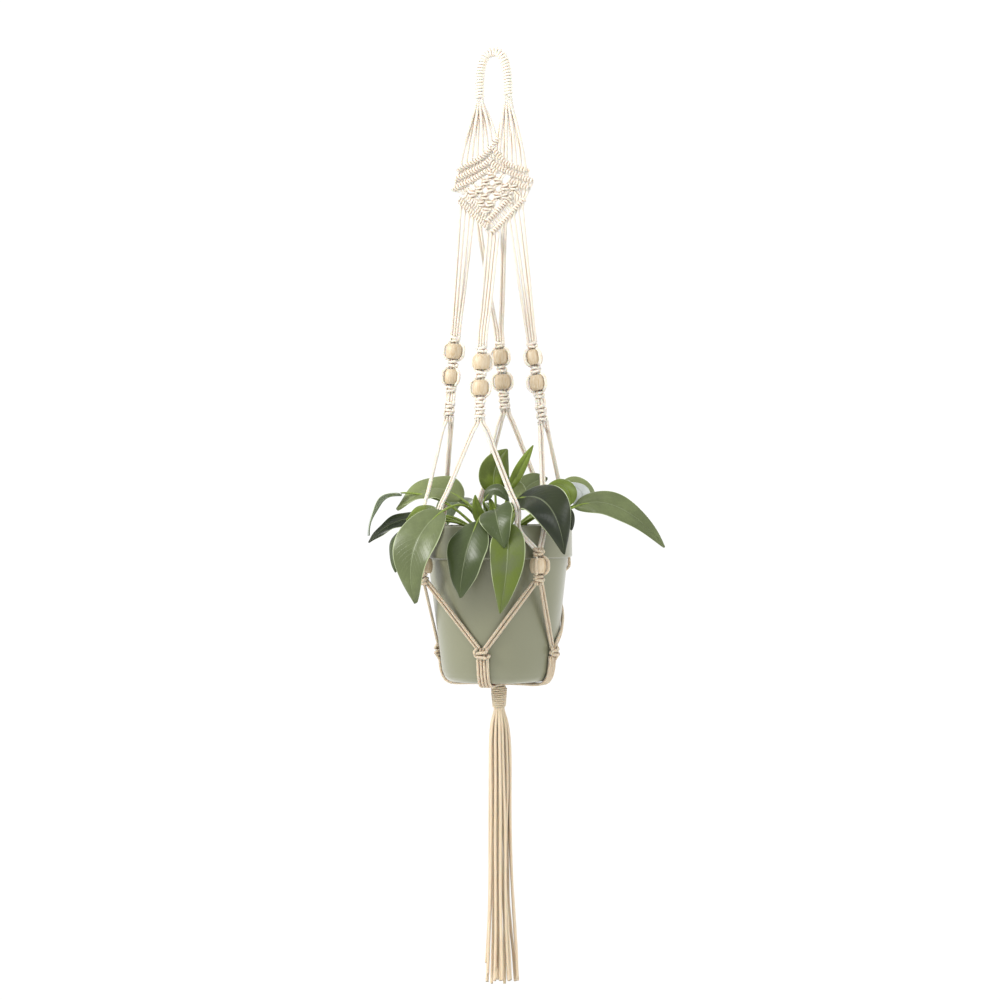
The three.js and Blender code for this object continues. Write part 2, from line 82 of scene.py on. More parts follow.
# Each strand: its place under the upper bead and where it splits, the knotted stretches below the lower
# bead, and the rim knots that its first and last two cords go to.
STRANDS = {
    "left": dict(bead=(-48.8, 0, -329), split=(-55.8, 0, -402), knots=((10.4, 1, 8), (28, 2, 16)),
                 to=("front_left", "back_left")),
    "front": dict(bead=(-4, -47, -345), split=(-5, -54, -417), knots=((10.4, 3, 23.6),),
                  to=("front_left", "front_right")),
    "back": dict(bead=(-7, 47, -333), split=(-3.6, 54, -400), knots=((10.4, 3, 21.6),),
                 to=("back_left", "back_right")),
    "right": dict(bead=(44, 0, -338), split=(53.9, 0, -412), knots=((10.4, 1, 7.6), (25, 2, 19)),
                  to=("back_right", "front_right")),
}
STRAND_TOPS = {
    "left": ((-40, -166.5), (-35.2, -171.5), (-30.4, -176.5), (-25.6, -181.5)),
    "back": ((-20.8, -185.5), (-16.9, -189), (8.3, -192.5), (12.4, -188.5)),
    "front": ((-8.6, -198.5), (-4.6, -201), (-0.6, -203.5), (3.6, -200)),
    "right": ((17, -184), (22, -179.5), (27, -174.5), (32, -170)),
}
RIM_KNOTS = {
    "front_right": dict(angle=313, over={"front": 300, "right": 321}, to=("front", "right")),
    "back_right": dict(angle=56, over={"right": 42, "back": 63}, to=("right", "back")),
    "back_left": dict(angle=135, over={"back": 120, "left": 150}, to=("back", "left")),
    "front_left": dict(angle=225, over={"left": 213, "front": 237}, to=("left", "front")),
}
BASE_KNOTS = {
    "front": (270, ("front_left", "front_right")),
    "right": (346, ("front_right", "back_right")),
    "back": (90, ("back_right", "back_left")),
    "left": (180, ("back_left", "front_left")),
}

HITCH_ROWS = {
    "upper_left_1": ((5.6, -91), (-9.5, -108), (-42, -124.5)),
    "upper_left_2": ((-2.5, -113.5), (-9, -119), (-26, -127.5), (-46, -135.5)),
    "upper_left_3": ((-9, -128), (-28, -138), (-48, -146.5)),
    "upper_right_1": ((-0.5, -102.5), (4, -108.5), (13.6, -119), (38, -130)),
    "upper_right_2": ((-4, -118), (1, -121.5), (20, -131.5), (44, -141.5)),
    "upper_right_3": ((18, -139), (29, -145), (40, -149.5)),
    "lower_left_1": ((-34, -152.6), (-10, -176)),
    "lower_left_2": ((-42, -157), (-9, -190.7)),
    "lower_right_1": ((18.5, -158), (-5.5, -181), (-10, -185)),
    "lower_right_2": ((33.6, -161.5), (0, -194), (-4, -197)),
}

# The square knots inside the diamond.
LATTICE = (
    (-3, -133), (-10.5, -141), (4.5, -140), (-18.5, -149), (-3.5, -148.5), (12, -147.5), (-25, -153.5),
    (-11.5, -157), (4, -156), (-16, -164.5), (-4, -165), (22.5, -148), (-8.5, -172.5), (12.5, -157.5),
)


# Each leaf: its stalk from the crown, its midrib to the tip, its width, the direction its upper face looks
# in, and its kind.
LEAVES = (
    # The first leaf and the fourteenth are painted grey in place of the sheen on their green faces: painted
    # highlight.
    (((-12, -8, -532), (-60, -15, -498), (-107, -16, -488)),
     ((-107, -16, -488), (-132, -24, -500), (-143, -33, -536)), 26, (-0.7, 0, 0.7), "painted_sheen"),
    (((-10, -6, -532), (-26, -10, -506), (-38, -10, -496)),
     ((-38, -10, -496), (-76, -6, -484), (-113, -20, -506)), 42, (-0.1, -0.6, 0.75), "olive"),
    (((-14, -12, -532), (-50, -22, -515), (-78, -26, -517)),
     ((-78, -26, -517), (-110, -33, -521), (-138, -45, -543)), 26, (-0.1, -0.6, 0.75), "deep"),
    (((-8, -14, -532), (-24, -62, -502), (-37, -88, -508)),
     ((-37, -88, -508), (-63, -112, -549), (-65, -107, -609)), 53, (-0.3, -1, 0.25), "shaded"),
    (((-14, -10, -532), (-60, -35, -516), (-86, -38, -524)),
     ((-86, -38, -524), (-108, -44, -546), (-106, -46, -577)), 24, (-0.8, -0.6, 0.3), "dark"),
    (((-6, -16, -532), (0, -60, -514), (1, -84, -519)),
     ((1, -84, -519), (-9, -101, -558), (-17, -97, -603)), 47, (-0.15, -1, 0.2), "dark"),
    (((8, -14, -532), (27, -55, -514), (32, -83, -522)),
     ((32, -83, -522), (37, -98, -562), (27, -94, -620)), 39, (0.15, -1, 0.15), "spring"),
    (((4, -14, -532), (7, -42, -510), (16, -68, -507)),
     ((16, -68, -507), (24, -92, -516), (34, -99, -549)), 40, (-0.25, -0.6, 0.75), "dark"),
    (((10, -8, -532), (22, -26, -504), (32, -40, -497)),
     ((32, -40, -497), (76, -72, -503), (92, -62, -557)), 50, (0.4, -0.85, 0.5), "deep"),
    (((-2, 2, -532), (-2, 0, -506), (-2, -2, -490)),
     ((-2, -2, -490), (0, -8, -463), (14, -7, -440)), 36, (0.1, -1, 0.1), "fresh"),
    (((6, 0, -532), (10, -4, -504), (16, -6, -486)),
     ((16, -6, -486), (29, -6, -461), (43, -3, -436)), 13, (0.3, -0.9, 0), "young"),
    (((8, 8, -532), (14, 18, -504), (20, 22, -494)),
     ((20, 22, -494), (30, 34, -480), (48, 42, -472)), 31, (0, -0.9, 0.4), "shaded"),
    (((12, 4, -532), (50, 14, -512), (80, 15, -504)),
     ((80, 15, -504), (76, 10, -484), (57, 4, -481)), 22, (0.5, -0.8, 0.4), "young"),
    (((10, 10, -532), (52, 26, -510), (80, 33, -504)),
     ((80, 33, -504), (88, 41, -490), (68, 40, -477)), 20, (0.5, -0.8, 0.5), "painted_sheen"),
    (((14, 2, -532), (52, 10, -508), (84, 17, -506)),
     ((84, 17, -506), (134, 19, -506), (187, 19, -551)), 31, (0.1, -0.9, 0.5), "shaded"),
    (((0, 14, -532), (-10, 50, -508), (-16, 74, -508)),
     ((-16, 74, -508), (-24, 104, -510), (-28, 112, -560)), 42, (-0.2, 0.8, 0.5), "dark"),
    (((8, 14, -532), (12, 44, -508), (16, 70, -506)),
     ((16, 70, -506), (24, 100, -504), (36, 112, -548)), 36, (0.2, 0.8, 0.5), "olive"),
    (((-8, 12, -532), (-30, 36, -506), (-48, 54, -502)),
     ((-48, 54, -502), (-78, 84, -498), (-98, 96, -540)), 36, (-0.5, 0.6, 0.6), "dark"),
    (((0, -10, -532), (-2, -36, -508), (-1, -52, -498)),
     ((-1, -52, -498), (14, -58, -486), (30, -62, -499)), 17, (0, -0.8, 0.6), "dark"),
    (((-2, -8, -532), (-4, -40, -530), (-4, -43, -526)),
     ((-4, -43, -526), (-10, -46, -510), (-12, -49, -491)), 13, (0.3, -1, 0.1), "young"),
    (((0, -8, -532), (3, -44, -532), (3, -47, -528)),
     ((3, -47, -528), (9, -50, -510), (4, -53, -494)), 11, (-0.3, -1, 0.2), "young"),
    (((-10, -6, -532), (-38, -30, -522), (-54, -45, -516)),
     ((-54, -45, -516), (-66, -60, -507), (-84, -76, -518)), 20, (-0.1, -0.7, 0.7), "fresh"),
    (((8, 8, -532), (42, 26, -508), (60, 34, -500)),
     ((60, 34, -500), (82, 50, -482), (100, 60, -508)), 26, (0.1, -0.8, 0.6), "olive"),
    (((10, -4, -532), (50, -12, -514), (68, -18, -510)),
     ((68, -18, -510), (86, -32, -514), (94, -37, -531)), 20, (0.3, -0.7, 0.6), "deep"),
    (((2, 2, -532), (22, -2, -506), (30, -3, -500)),
     ((30, -3, -500), (20, 1, -482), (2, 2, -472)), 18, (0, -0.9, 0.5), "olive"),
)


def size(name):
    """One of the planter's size settings, in millimetres."""
    return getattr(bpy.context.scene.planter_sizes, name) / MM


# ---- Vectors ----
def vec(*numbers):
    return np.array(numbers, float)


def unit(vector):
    return vector / np.linalg.norm(vector)


def heading(angle):
    """The level direction at an angle in degrees round the planter's axis."""
    return vec(math.cos(math.radians(angle)), math.sin(math.radians(angle)), 0)


def polar(angle, radius, z):
    return heading(angle) * radius + vec(0, 0, z)


def mix(a, b, share):
    return a + (b - a) * share


def pot_radius(z):
    """The pot's outer radius at a height, without the rounding at its base."""
    return np.interp(z, (BASE_Z, COLLAR_BOTTOM_Z), (BASE_RADIUS, BODY_TOP_RADIUS))


# ---- Routes ----
def smooth(points, step):
    """Points `step` apart along the smooth curve through the given ones."""
    points = np.asarray(points, float)
    gaps = np.maximum(np.linalg.norm(np.diff(points, axis=0), axis=1), 1e-6)
    slopes = np.diff(points, axis=0) / gaps[:, None]
    before, after = gaps[:-1, None], gaps[1:, None]
    inner = (slopes[:-1] * after + slopes[1:] * before) / (before + after)
    slopes = np.vstack((slopes[:1], inner, slopes[-1:]))
    dense = [points[:1]]
    for i, gap in enumerate(gaps):
        t = np.linspace(0, 1, max(2, math.ceil(gap / (step * 0.4))) + 1)[1:, None]
        dense.append(
            (2 * t**3 - 3 * t**2 + 1) * points[i]
            + (t**3 - 2 * t**2 + t) * gap * slopes[i]
            + (3 * t**2 - 2 * t**3) * points[i + 1]
            + (t**3 - t**2) * gap * slopes[i + 1]
        )
    dense = np.vstack(dense)
    along = np.concatenate(([0], np.cumsum(np.linalg.norm(np.diff(dense, axis=0), axis=1))))
    count = max(2, round(along[-1] / step) + 1)
    marks = np.linspace(0, along[-1], count)
    return np.column_stack([np.interp(marks, along, dense[:, axis]) for axis in range(3)])


def frames(line):
    """The direction along a line and one steady direction across it, at each of its points."""
    tangents = np.gradient(line, axis=0)
    tangents /= np.linalg.norm(tangents, axis=1)[:, None]
    side = np.cross(tangents[0], (0.3, 1, 0.2))
    normals = np.empty_like(line)
    for i, tangent in enumerate(tangents):
        side = side - tangent * side.dot(tangent)
        side = side / math.sqrt(side.dot(side))
        normals[i] = side
    return tangents, normals


def coil(line, radius, pitch, lean=0.0, step=1.2, turn=0.0):
    """The route of a cord wound round a line; `lean` slants each turn along it, `radius` may vary."""
    core = smooth(line, 0.15)
    tangents, normals = frames(core)
    across = np.cross(tangents, normals)
    along = np.concatenate(([0], np.cumsum(np.linalg.norm(np.diff(core, axis=0), axis=1))))
    angle = 2 * math.pi * along / pitch + turn
    radius = np.interp(along / along[-1], np.linspace(0, 1, len(np.atleast_1d(radius))), np.atleast_1d(radius))
    ring = normals * np.cos(angle)[:, None] + across * np.sin(angle)[:, None]
    wound = core + ring * radius[:, None] + tangents * (lean * np.sin(angle))[:, None]
    return smooth(wound, step)


# ---- Meshes ----
def make_mesh(name, vertices, faces, uvs=None):
    """A piece from vertices in millimetres, and faces of any length with a UV corner for each."""
    mesh = bpy.data.meshes.new(name)
    mesh.vertices.add(len(vertices))
    mesh.vertices.foreach_set("co", (np.asarray(vertices) * MM).astype(np.float32).ravel())
    sizes = np.array([len(face) for face in faces], np.int32)
    mesh.loops.add(int(sizes.sum()))
    mesh.loops.foreach_set("vertex_index", np.concatenate(faces).astype(np.int32))
    mesh.polygons.add(len(faces))
    mesh.polygons.foreach_set("loop_start", np.concatenate(([0], np.cumsum(sizes)[:-1])).astype(np.int32))
    mesh.polygons.foreach_set("loop_total", sizes)
    if uvs is not None:
        mesh.uv_layers.new(name="Lay").uv.foreach_set("vector", np.concatenate(uvs).astype(np.float32).ravel())
    mesh.update(calc_edges=True)
    mesh.polygons.foreach_set("use_smooth", np.ones(len(faces), bool))
    piece = bpy.data.objects.new(name, mesh)
    bpy.context.scene.collection.objects.link(piece)
    return piece


PLY_SECTION = np.array([1.0, 0.985, 0.94, 0.985] * 3)   # a three-ply cord's outline, lobe to groove
ROUND_SECTION = np.ones(12)
# The cotton is painted darker where another cord lies within this reach of its surface: painted crevice shade.
CREVICE_REACH, CREVICE_WIDTH = 1.5, 2.9             # how far off the surface another cord is felt


class Bundle:
    """Cords and tubes that are gathered into one piece."""

    def __init__(self):
        self.vertices, self.faces, self.uvs, self.count = [], [], [], 0
        self.normals, self.axes = [], []

    def add(self, line, radius=None, lay=7.0, section=PLY_SECTION, start=0.0, across=None):
        """One cord along `line`; `lay` is one turn of its plies, `start` the length before it."""
        tangents, normals = across if across is not None else frames(line)
        sides = len(section)
        along = start + np.concatenate(([0], np.cumsum(np.linalg.norm(np.diff(line, axis=0), axis=1))))
        phase = 2 * math.pi * along / lay if lay else np.zeros(len(line))
        angle = phase[:, None] + np.arange(sides) * 2 * math.pi / sides
        radius = np.broadcast_to(size("cord") / 2 if radius is None else radius, len(line))
        reach = (radius[:, None] * section)[:, :, None]
        sideways = np.cross(tangents, normals)[:, None] * np.sin(angle)[:, :, None]
        ring = normals[:, None] * np.cos(angle)[:, :, None] + sideways
        self.vertices.append((line[:, None] + ring * reach).reshape(-1, 3))
        self.normals.append(ring.reshape(-1, 3))
        self.axes.append(line)
        first = self.count + np.arange(len(line) - 1)[:, None] * sides
        here, beside = np.arange(sides), (np.arange(sides) + 1) % sides
        quads = np.stack((first + here, first + beside, first + sides + beside, first + sides + here), 2)
        self.faces.extend(quads.reshape(-1, 4))
        u = here / sides
        low = np.meshgrid(along[:-1] / CORD, u, indexing="ij")
        high = np.meshgrid(along[1:] / CORD, u, indexing="ij")
        corners = np.stack((
            np.stack((low[1], low[0]), 2), np.stack((low[1] + 1 / sides, low[0]), 2),
            np.stack((high[1] + 1 / sides, high[0]), 2), np.stack((high[1], high[0]), 2)), 2)
        self.uvs.extend(corners.reshape(-1, 4, 2))
        last = self.count + (len(line) - 1) * sides
        self.faces += [self.count + here[::-1], last + here]
        self.uvs += [np.full((sides, 2), 0.5), np.full((sides, 2), 0.5)]
        self.count += len(line) * sides
        return self

    def crevices(self):
        """How closely other cords crowd each point of the surface, from 0 to 1: the mask of the painted crevice
        shade.
        """
        axes, probes = np.vstack(self.axes), np.vstack(self.vertices) + np.vstack(self.normals) * CREVICE_REACH
        tree = KDTree(len(axes))
        for i, at in enumerate(axes):
            tree.insert(at, i)
        tree.balance()
        return np.array([max(0.0, 1 - tree.find(probe)[2] / CREVICE_WIDTH) for probe in probes])

    def piece(self, name, painted_crevice_shade=True):
        piece = make_mesh(name, np.vstack(self.vertices), self.faces, self.uvs)
        # The crevice attribute holds the mask of the painted crevice shade.
        if painted_crevice_shade:
            crowded = piece.data.attributes.new("crevice_shade", "FLOAT", "POINT")
            crowded.data.foreach_set("value", self.crevices().astype(np.float32))
        return piece


def finish_piece(piece, material, body, slot, *nodes):
    """Dresses a piece, puts it on its body and lets it stand for its CAD nodes."""
    for one in material if isinstance(material, (list, tuple)) else (material,):
        piece.data.materials.append(one)
    if nodes:
        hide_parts(*nodes)
    if body:
        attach(piece, body)
    return piece


def hang_cords(bundle, name, node, kind="hanger_cotton"):
    """Makes a bundle of cords one piece of the hanger, in place of its CAD node."""
    return finish_piece(bundle.piece(name), material(kind), "hanger", "cotton_cord", node)


# ---- Materials ----
class Socket:
    """A shader value that takes part in Python arithmetic; an expression adds its Math nodes."""

    def __init__(self, shader, link):
        self.shader, self.link = shader, link

    def math(self, operation, *others):
        return self.shader.node("ShaderNodeMath", dict(operation=operation), (self, *others))

    def __add__(self, other):
        return self.math("ADD", other)

    def __sub__(self, other):
        return self.math("SUBTRACT", other)

    def __rsub__(self, other):
        return self.shader.node("ShaderNodeMath", dict(operation="SUBTRACT"), (other, self))

    def __mul__(self, other):
        return self.math("MULTIPLY", other)

    def __truediv__(self, other):
        return self.math("DIVIDE", other)

    def __pow__(self, other):
        return self.math("POWER", other)

    __radd__, __rmul__ = __add__, __mul__

    def smoothstep(self, low, high):
        return self.shader.node(
            "ShaderNodeMapRange", dict(interpolation_type="SMOOTHSTEP"), (self, low, high, 0.0, 1.0))


class Shader:
    """One material's node tree, from its texture coordinates to its surface."""

    def __init__(self, name):
        self.material = bpy.data.materials.new(name)
        self.material.use_nodes = True
        self.tree = self.material.node_tree
        self.surface = self.tree.nodes["Principled BSDF"]
        self.spot = self.node("ShaderNodeTexCoord", output="Object")

    def node(self, kind, settings=None, values=(), output=0):
        """One node: its settings, then the values or links of its sockets, by order or by name."""
        made = self.tree.nodes.new(kind)
        for key, value in (settings or {}).items():
            setattr(made, key, value)
        for key, value in values.items() if isinstance(values, dict) else enumerate(values):
            self.put(made.inputs[key], value)
        return Socket(self, made.outputs[output])

    def put(self, socket, value):
        if isinstance(value, Socket):
            self.tree.links.new(value.link, socket)
        elif value is not None:
            socket.default_value = value

    def noise(self, scale, detail=3.0, roughness=0.5, where=None, stretch=(1, 1, 1)):
        if stretch != (1, 1, 1):
            where = self.node("ShaderNodeMapping", None, {"Vector": where or self.spot, "Scale": stretch})
        return self.node("ShaderNodeTexNoise", None, {
            "Vector": where or self.spot, "Scale": scale, "Detail": detail, "Roughness": roughness})

    def cells(self, scale, where=None):
        return self.node("ShaderNodeTexVoronoi", None, {"Vector": where or self.spot, "Scale": scale})

    def mix(self, share, low, high):
        """A colour between two others."""
        mixer = self.tree.nodes.new("ShaderNodeMix")
        mixer.data_type = "RGBA"
        for key, value in ((0, share), (6, low), (7, high)):
            self.put(mixer.inputs[key], value)
        return Socket(self, mixer.outputs[2])

    def lay(self, name):
        """The two parts of a piece's own UV map."""
        parts = self.tree.nodes.new("ShaderNodeSeparateXYZ")
        self.put(parts.inputs[0], self.node("ShaderNodeUVMap", dict(uv_map=name)))
        return Socket(self, parts.outputs[0]), Socket(self, parts.outputs[1])

    def bump(self, height, distance, strength=1.0, under=None):
        return self.node("ShaderNodeBump", None, {
            "Height": height, "Distance": distance, "Strength": strength, "Normal": under})

    def finish(self, **values):
        """Sets the surface's sockets, whose spaces are written as underscores."""
        for key, value in values.items():
            self.put(self.surface.inputs[key.replace("_", " ")], value)
        return self.material


def tone(color, light):
    """A colour made lighter or darker."""
    return (*(min(1.0, channel * light) for channel in color[:3]), 1.0)


def cotton(name, color, crevice_shade_strength):
    shader = Shader(name)
    around, along = shader.lay("Lay")
    # Painted shade: the colour darkens towards the deep tone in the grooves between the plies; the fibre
    # stripes and the fuzz mixed in with it are the yarn's own marks.
    groove_shade = 0.5 - 0.5 * (around * (6 * math.pi)).math("COSINE")
    fibre = ((around * 36 + along * 7) * (2 * math.pi)).math("SINE") * 0.5 + 0.5
    cross = ((around * 21 - along * 11) * (2 * math.pi)).math("SINE") * 0.5 + 0.5
    patch = shader.noise(60, 3)
    fuzz = shader.noise(2600, 4, 0.7)
    pale, deep = tone(color, 1.0), (color[0] * 0.86, color[1] * 0.72, color[2] * 0.54, 1)
    cream = tone((color[0], color[1] * 0.96, color[2] * 0.88), 0.96)
    base = shader.mix(patch.smoothstep(0.35, 0.7) * 0.3, pale, cream)
    groove_shade_and_fibre = groove_shade ** 3 * 0.4 + fibre * 0.12 + fuzz.smoothstep(0.45, 0.75) * 0.15
    base = shader.mix(groove_shade_and_fibre, base, deep)
    # Painted shade: the cotton turns a warm dark brown where other cords crowd it, in place of the shade
    # between touching cords.
    crevice_shade = shader.node("ShaderNodeAttribute", dict(attribute_name="crevice_shade"), output="Fac")
    painted_crevice_shade = (color[0] * 0.76, color[1] * 0.5, color[2] * 0.33, 1)
    base = shader.mix(crevice_shade.smoothstep(0.03, 0.6) * crevice_shade_strength, base, painted_crevice_shade)
    ridges = shader.bump(fibre * 0.6 + cross * 0.4 + fuzz * 0.9, 0.00022)
    return shader.finish(
        Base_Color=base, Roughness=fuzz * 0.1 + 0.82, Normal=ridges, Sheen_Weight=0.3, Sheen_Roughness=0.5,
        Specular_IOR_Level=0.2, Subsurface_Weight=0.25, Subsurface_Radius=(1.0, 0.62, 0.38),
        Subsurface_Scale=0.003)


def bead_wood(name, color):
    shader = Shader(name)
    grain = shader.noise(60, 5, 0.6, stretch=(14, 14, 1.2))
    pores = shader.noise(200, 3, 0.7, stretch=(9, 9, 0.8))
    patch = shader.noise(45, 2)
    dark_grain = (color[0] * 0.86, color[1] * 0.74, color[2] * 0.58, 1)
    honey = (color[0] * 0.94, color[1] * 0.84, color[2] * 0.68, 1)
    base = shader.mix(grain.smoothstep(0.35, 0.68), tone(color, 1.08), dark_grain)
    base = shader.mix(patch.smoothstep(0.4, 0.75) * 0.35, base, honey)
    base = shader.mix(pores.smoothstep(0.6, 0.75) * 0.35, base, tone(color, 0.55))
    return shader.finish(
        Base_Color=base, Roughness=grain * 0.2 + 0.38, Normal=shader.bump(grain + pores * 0.5, 0.0002),
        Coat_Weight=0.12, Coat_Roughness=0.3)


def pot_body(name, color):
    shader = Shader(name)
    cloud = shader.noise(9, 3)
    speck = shader.noise(420, 3, 0.6)
    turning = shader.noise(30, 4, 0.6, stretch=(0.15, 0.15, 9))
    glaze = tone((color[0] * 1.04, color[1], color[2] * 0.9), 0.86)
    base = shader.mix(cloud.smoothstep(0.3, 0.75) * 0.35, color, glaze)
    base = shader.mix(speck.smoothstep(0.62, 0.78) * 0.25, base, tone(color, 1.35))
    skin = shader.bump(speck * 0.6 + turning * 0.5, 0.00012)
    return shader.finish(
        Base_Color=base, Roughness=cloud * 0.14 + speck * 0.1 + 0.36, Normal=skin, Coat_Weight=0.5,
        Coat_Roughness=0.3, Sheen_Weight=0.3, Sheen_Roughness=0.4)


def potting_soil(name, color):
    shader = Shader(name)
    crumb = shader.noise(380, 6, 0.75)
    lump = shader.cells(170)
    root = shader.noise(90, 2, stretch=(1, 7, 1))
    base = shader.mix(crumb.smoothstep(0.35, 0.7), tone(color, 0.5), tone(color, 1.9))
    base = shader.mix(root.smoothstep(0.64, 0.7) * 0.5, base, (0.2, 0.14, 0.08, 1))
    return shader.finish(
        Base_Color=base, Roughness=crumb * 0.2 + 0.78, Normal=shader.bump(crumb - lump * 0.6, 0.002))


def leaf_face(name, color, young):
    """A leaf's upper face: a pale midrib, side veins that sweep to the tip, blotches and a pale edge."""
    shader = Shader(name)
    edge = bpy.context.scene.planter_colors.leaf_edge
    across, along = shader.lay("Blade")
    off = (across - 0.5).math("ABSOLUTE") * 2
    vein = ((along * 1.15 - off * 0.26) * (2 * math.pi * 15)).math("SINE")
    vein = vein.smoothstep(0.72, 1.0) * (1 - off.smoothstep(0.7, 0.96))
    rib = 1 - off.smoothstep(0.015, 0.055)
    patch = shader.noise(26, 4, 0.6)
    speck = shader.noise(700, 3)
    base = shader.mix(patch.smoothstep(0.38, 0.66), color, young)
    base = shader.mix(speck.smoothstep(0.5, 0.75) * 0.12, base, tone(young, 1.5))
    base = shader.mix(vein * 0.05, base, tone(young, 1.7))
    base = shader.mix(rib * 0.3, base, tone(edge, 0.7))
    base = shader.mix(off.smoothstep(0.93, 0.98) * 0.85, base, edge)
    skin = shader.bump(vein * 0.07 + rib * 0.6 + patch * 0.8 + speck * 0.04, 0.0008)
    return shader.finish(
        Base_Color=base, Roughness=patch * 0.12 + speck * 0.06 + 0.24, Normal=skin, Specular_IOR_Level=0.3)


def leaf_under(name, color):
    shader = Shader(name)
    across, along = shader.lay("Blade")
    off = (across - 0.5).math("ABSOLUTE") * 2
    vein = ((along * 1.15 - off * 0.26) * (2 * math.pi * 15)).math("SINE").smoothstep(0.6, 1.0)
    rib = 1 - off.smoothstep(0.03, 0.09)
    patch = shader.noise(50, 3)
    base = shader.mix(patch.smoothstep(0.35, 0.7) * 0.5, color, tone(color, 0.72))
    base = shader.mix(rib * 0.6 + vein * 0.2, base, tone(color, 1.5))
    return shader.finish(
        Base_Color=base, Roughness=patch * 0.15 + 0.5, Normal=shader.bump(rib + vein * 0.4, 0.0007))


def stalk_skin(name, color):
    shader = Shader(name)
    streak = shader.noise(120, 3, stretch=(4, 4, 0.6))
    return shader.finish(
        Base_Color=shader.mix(streak, tone(color, 1.25), tone(color, 0.6)), Roughness=streak * 0.2 + 0.4,
        Normal=shader.bump(streak, 0.0003))


def pale_floor(name, color):
    shader = Shader(name)
    cloud = shader.noise(3, 2)
    return shader.finish(Base_Color=shader.mix(cloud * 0.3, color, tone(color, 0.98)), Roughness=0.9)


FINISHES = {}


def material(name):
    """One of the planter's materials, made when it is first asked for."""
    if name in FINISHES:
        return FINISHES[name]
    colors = bpy.context.scene.planter_colors
    makers = {
        # The last number of each cotton is the strength of its painted crevice shade.
        "hanger_cotton": lambda: cotton(name, colors.cotton, 0.62),
        # Net cotton and tassel yarn are darker and warmer than the upper cotton. This is partly painted shade
        # for the less lit lower hanger and partly the cords' own tone.
        "net_cotton": lambda: cotton(name, colors.net, 0.7),
        "tassel_yarn": lambda: cotton(name, colors.tassel, 0.25),
        "turned_wood": lambda: bead_wood(name, colors.wood),
        "sage_clay": lambda: pot_body(name, colors.pot),
        "dark_soil": lambda: potting_soil(name, colors.soil),
        "leaf_deep": lambda: leaf_face(name, colors.leaf_deep, tone(colors.leaf_dark, 0.35)),
        "leaf_dark": lambda: leaf_face(name, tone(colors.leaf_dark, 0.8), colors.leaf_dark),
        "leaf_shaded": lambda: leaf_face(name, colors.leaf_shaded, tone(colors.leaf_shaded, 1.35)),
        "leaf_olive": lambda: leaf_face(name, tone(colors.leaf_olive, 0.7), colors.leaf_olive),
        "leaf_fresh": lambda: leaf_face(name, tone(colors.leaf_young, 0.35), tone(colors.leaf_young, 0.75)),
        "leaf_spring": lambda: leaf_face(name, colors.leaf_shaded, tone(colors.leaf_young, 0.5)),
        "leaf_young": lambda: leaf_face(name, tone(colors.leaf_young, 0.6), colors.leaf_young),
        # Painted highlight: a grey leaf colour in place of the sheen on a green leaf.
        "leaf_painted_sheen": lambda: leaf_face(name, colors.leaf_painted_sheen, tone(colors.leaf_painted_sheen, 1.3)),
        "leaf_under": lambda: leaf_under(name, colors.leaf_under),
        "leaf_stalk": lambda: stalk_skin(name, colors.leaf_young),
        "pale_floor": lambda: pale_floor(name, colors.floor),
    }
    FINISHES[name] = makers[name]()
    return FINISHES[name]


# ---- Modelling by hand ----
def start_modelling():
    bpy.ops.object.select_all(action="DESELECT")
    bpy.context.view_layer.objects.active = None


def apply_modifier(piece, kind, **settings):
    modifier = piece.modifiers.new(kind.title(), kind)
    for key, value in settings.items():
        setattr(modifier, key, value)
    bpy.context.view_layer.objects.active = piece
    bpy.ops.object.modifier_apply(modifier=modifier.name)


def name_piece(name):
    """Names the piece in hand and sets its place into its mesh."""
    piece = bpy.context.active_object
    piece.name = piece.data.name = name
    bpy.ops.object.transform_apply(location=True, rotation=True, scale=True)
    return piece


def turn_profile(name, profile, sides, hollow=False):
    """A turned piece: a circle whose edge is extruded and resized from point to point of a profile."""
    start_modelling()
    radius, z = profile[0]
    bpy.ops.mesh.primitive_circle_add(
        vertices=sides, radius=radius * MM, fill_type="NOTHING" if hollow else "NGON", location=(0, 0, z * MM))
    bpy.ops.object.mode_set(mode="EDIT")
    bpy.ops.mesh.select_all(action="SELECT")
    for next_radius, next_z in profile[1:]:
        extrude = bpy.ops.mesh.extrude_edges_move if hollow else bpy.ops.mesh.extrude_region_move
        extrude()
        bpy.ops.transform.translate(value=(0, 0, (next_z - z) * MM))
        share = next_radius / radius
        bpy.ops.transform.resize(value=(share, share, 1), center_override=(0, 0, next_z * MM))
        radius, z = next_radius, next_z
    bpy.ops.mesh.select_all(action="SELECT")
    bpy.ops.mesh.remove_doubles(threshold=0.00002)
    bpy.ops.mesh.normals_make_consistent(inside=False)
    bpy.ops.object.mode_set(mode="OBJECT")
    bpy.ops.object.shade_smooth_by_angle(angle=math.radians(40))
    return name_piece(name)


# ---- Square knots ----
# The routes of a square knot's two tying cords in cord diameters: across, towards the front, and down.
FRONT_TIE = (
    (-1.25, 0, 0), (-1.0, 0.75, 0.35), (0, 1.05, 0.55), (1.0, 0.6, 0.75), (1.55, 0, 1.1),
    (1.0, 0.6, 1.45), (0, 1.05, 1.65), (-1.0, 0.75, 1.85), (-1.25, 0, 2.2))
BACK_TIE = (
    (1.25, 0, 0), (1.5, 0.7, 0.45), (1.45, 0.9, 0.75), (1.1, -0.3, 1.0), (0, -1.0, 1.1), (-1.1, -0.5, 1.15),
    (-1.55, 0.5, 1.35), (-1.35, 0.9, 1.65), (-1.0, -0.5, 1.95), (0, -1.0, 2.05), (1.0, -0.6, 2.1),
    (1.25, 0, 2.3))
TIE_LENGTH = 2.35


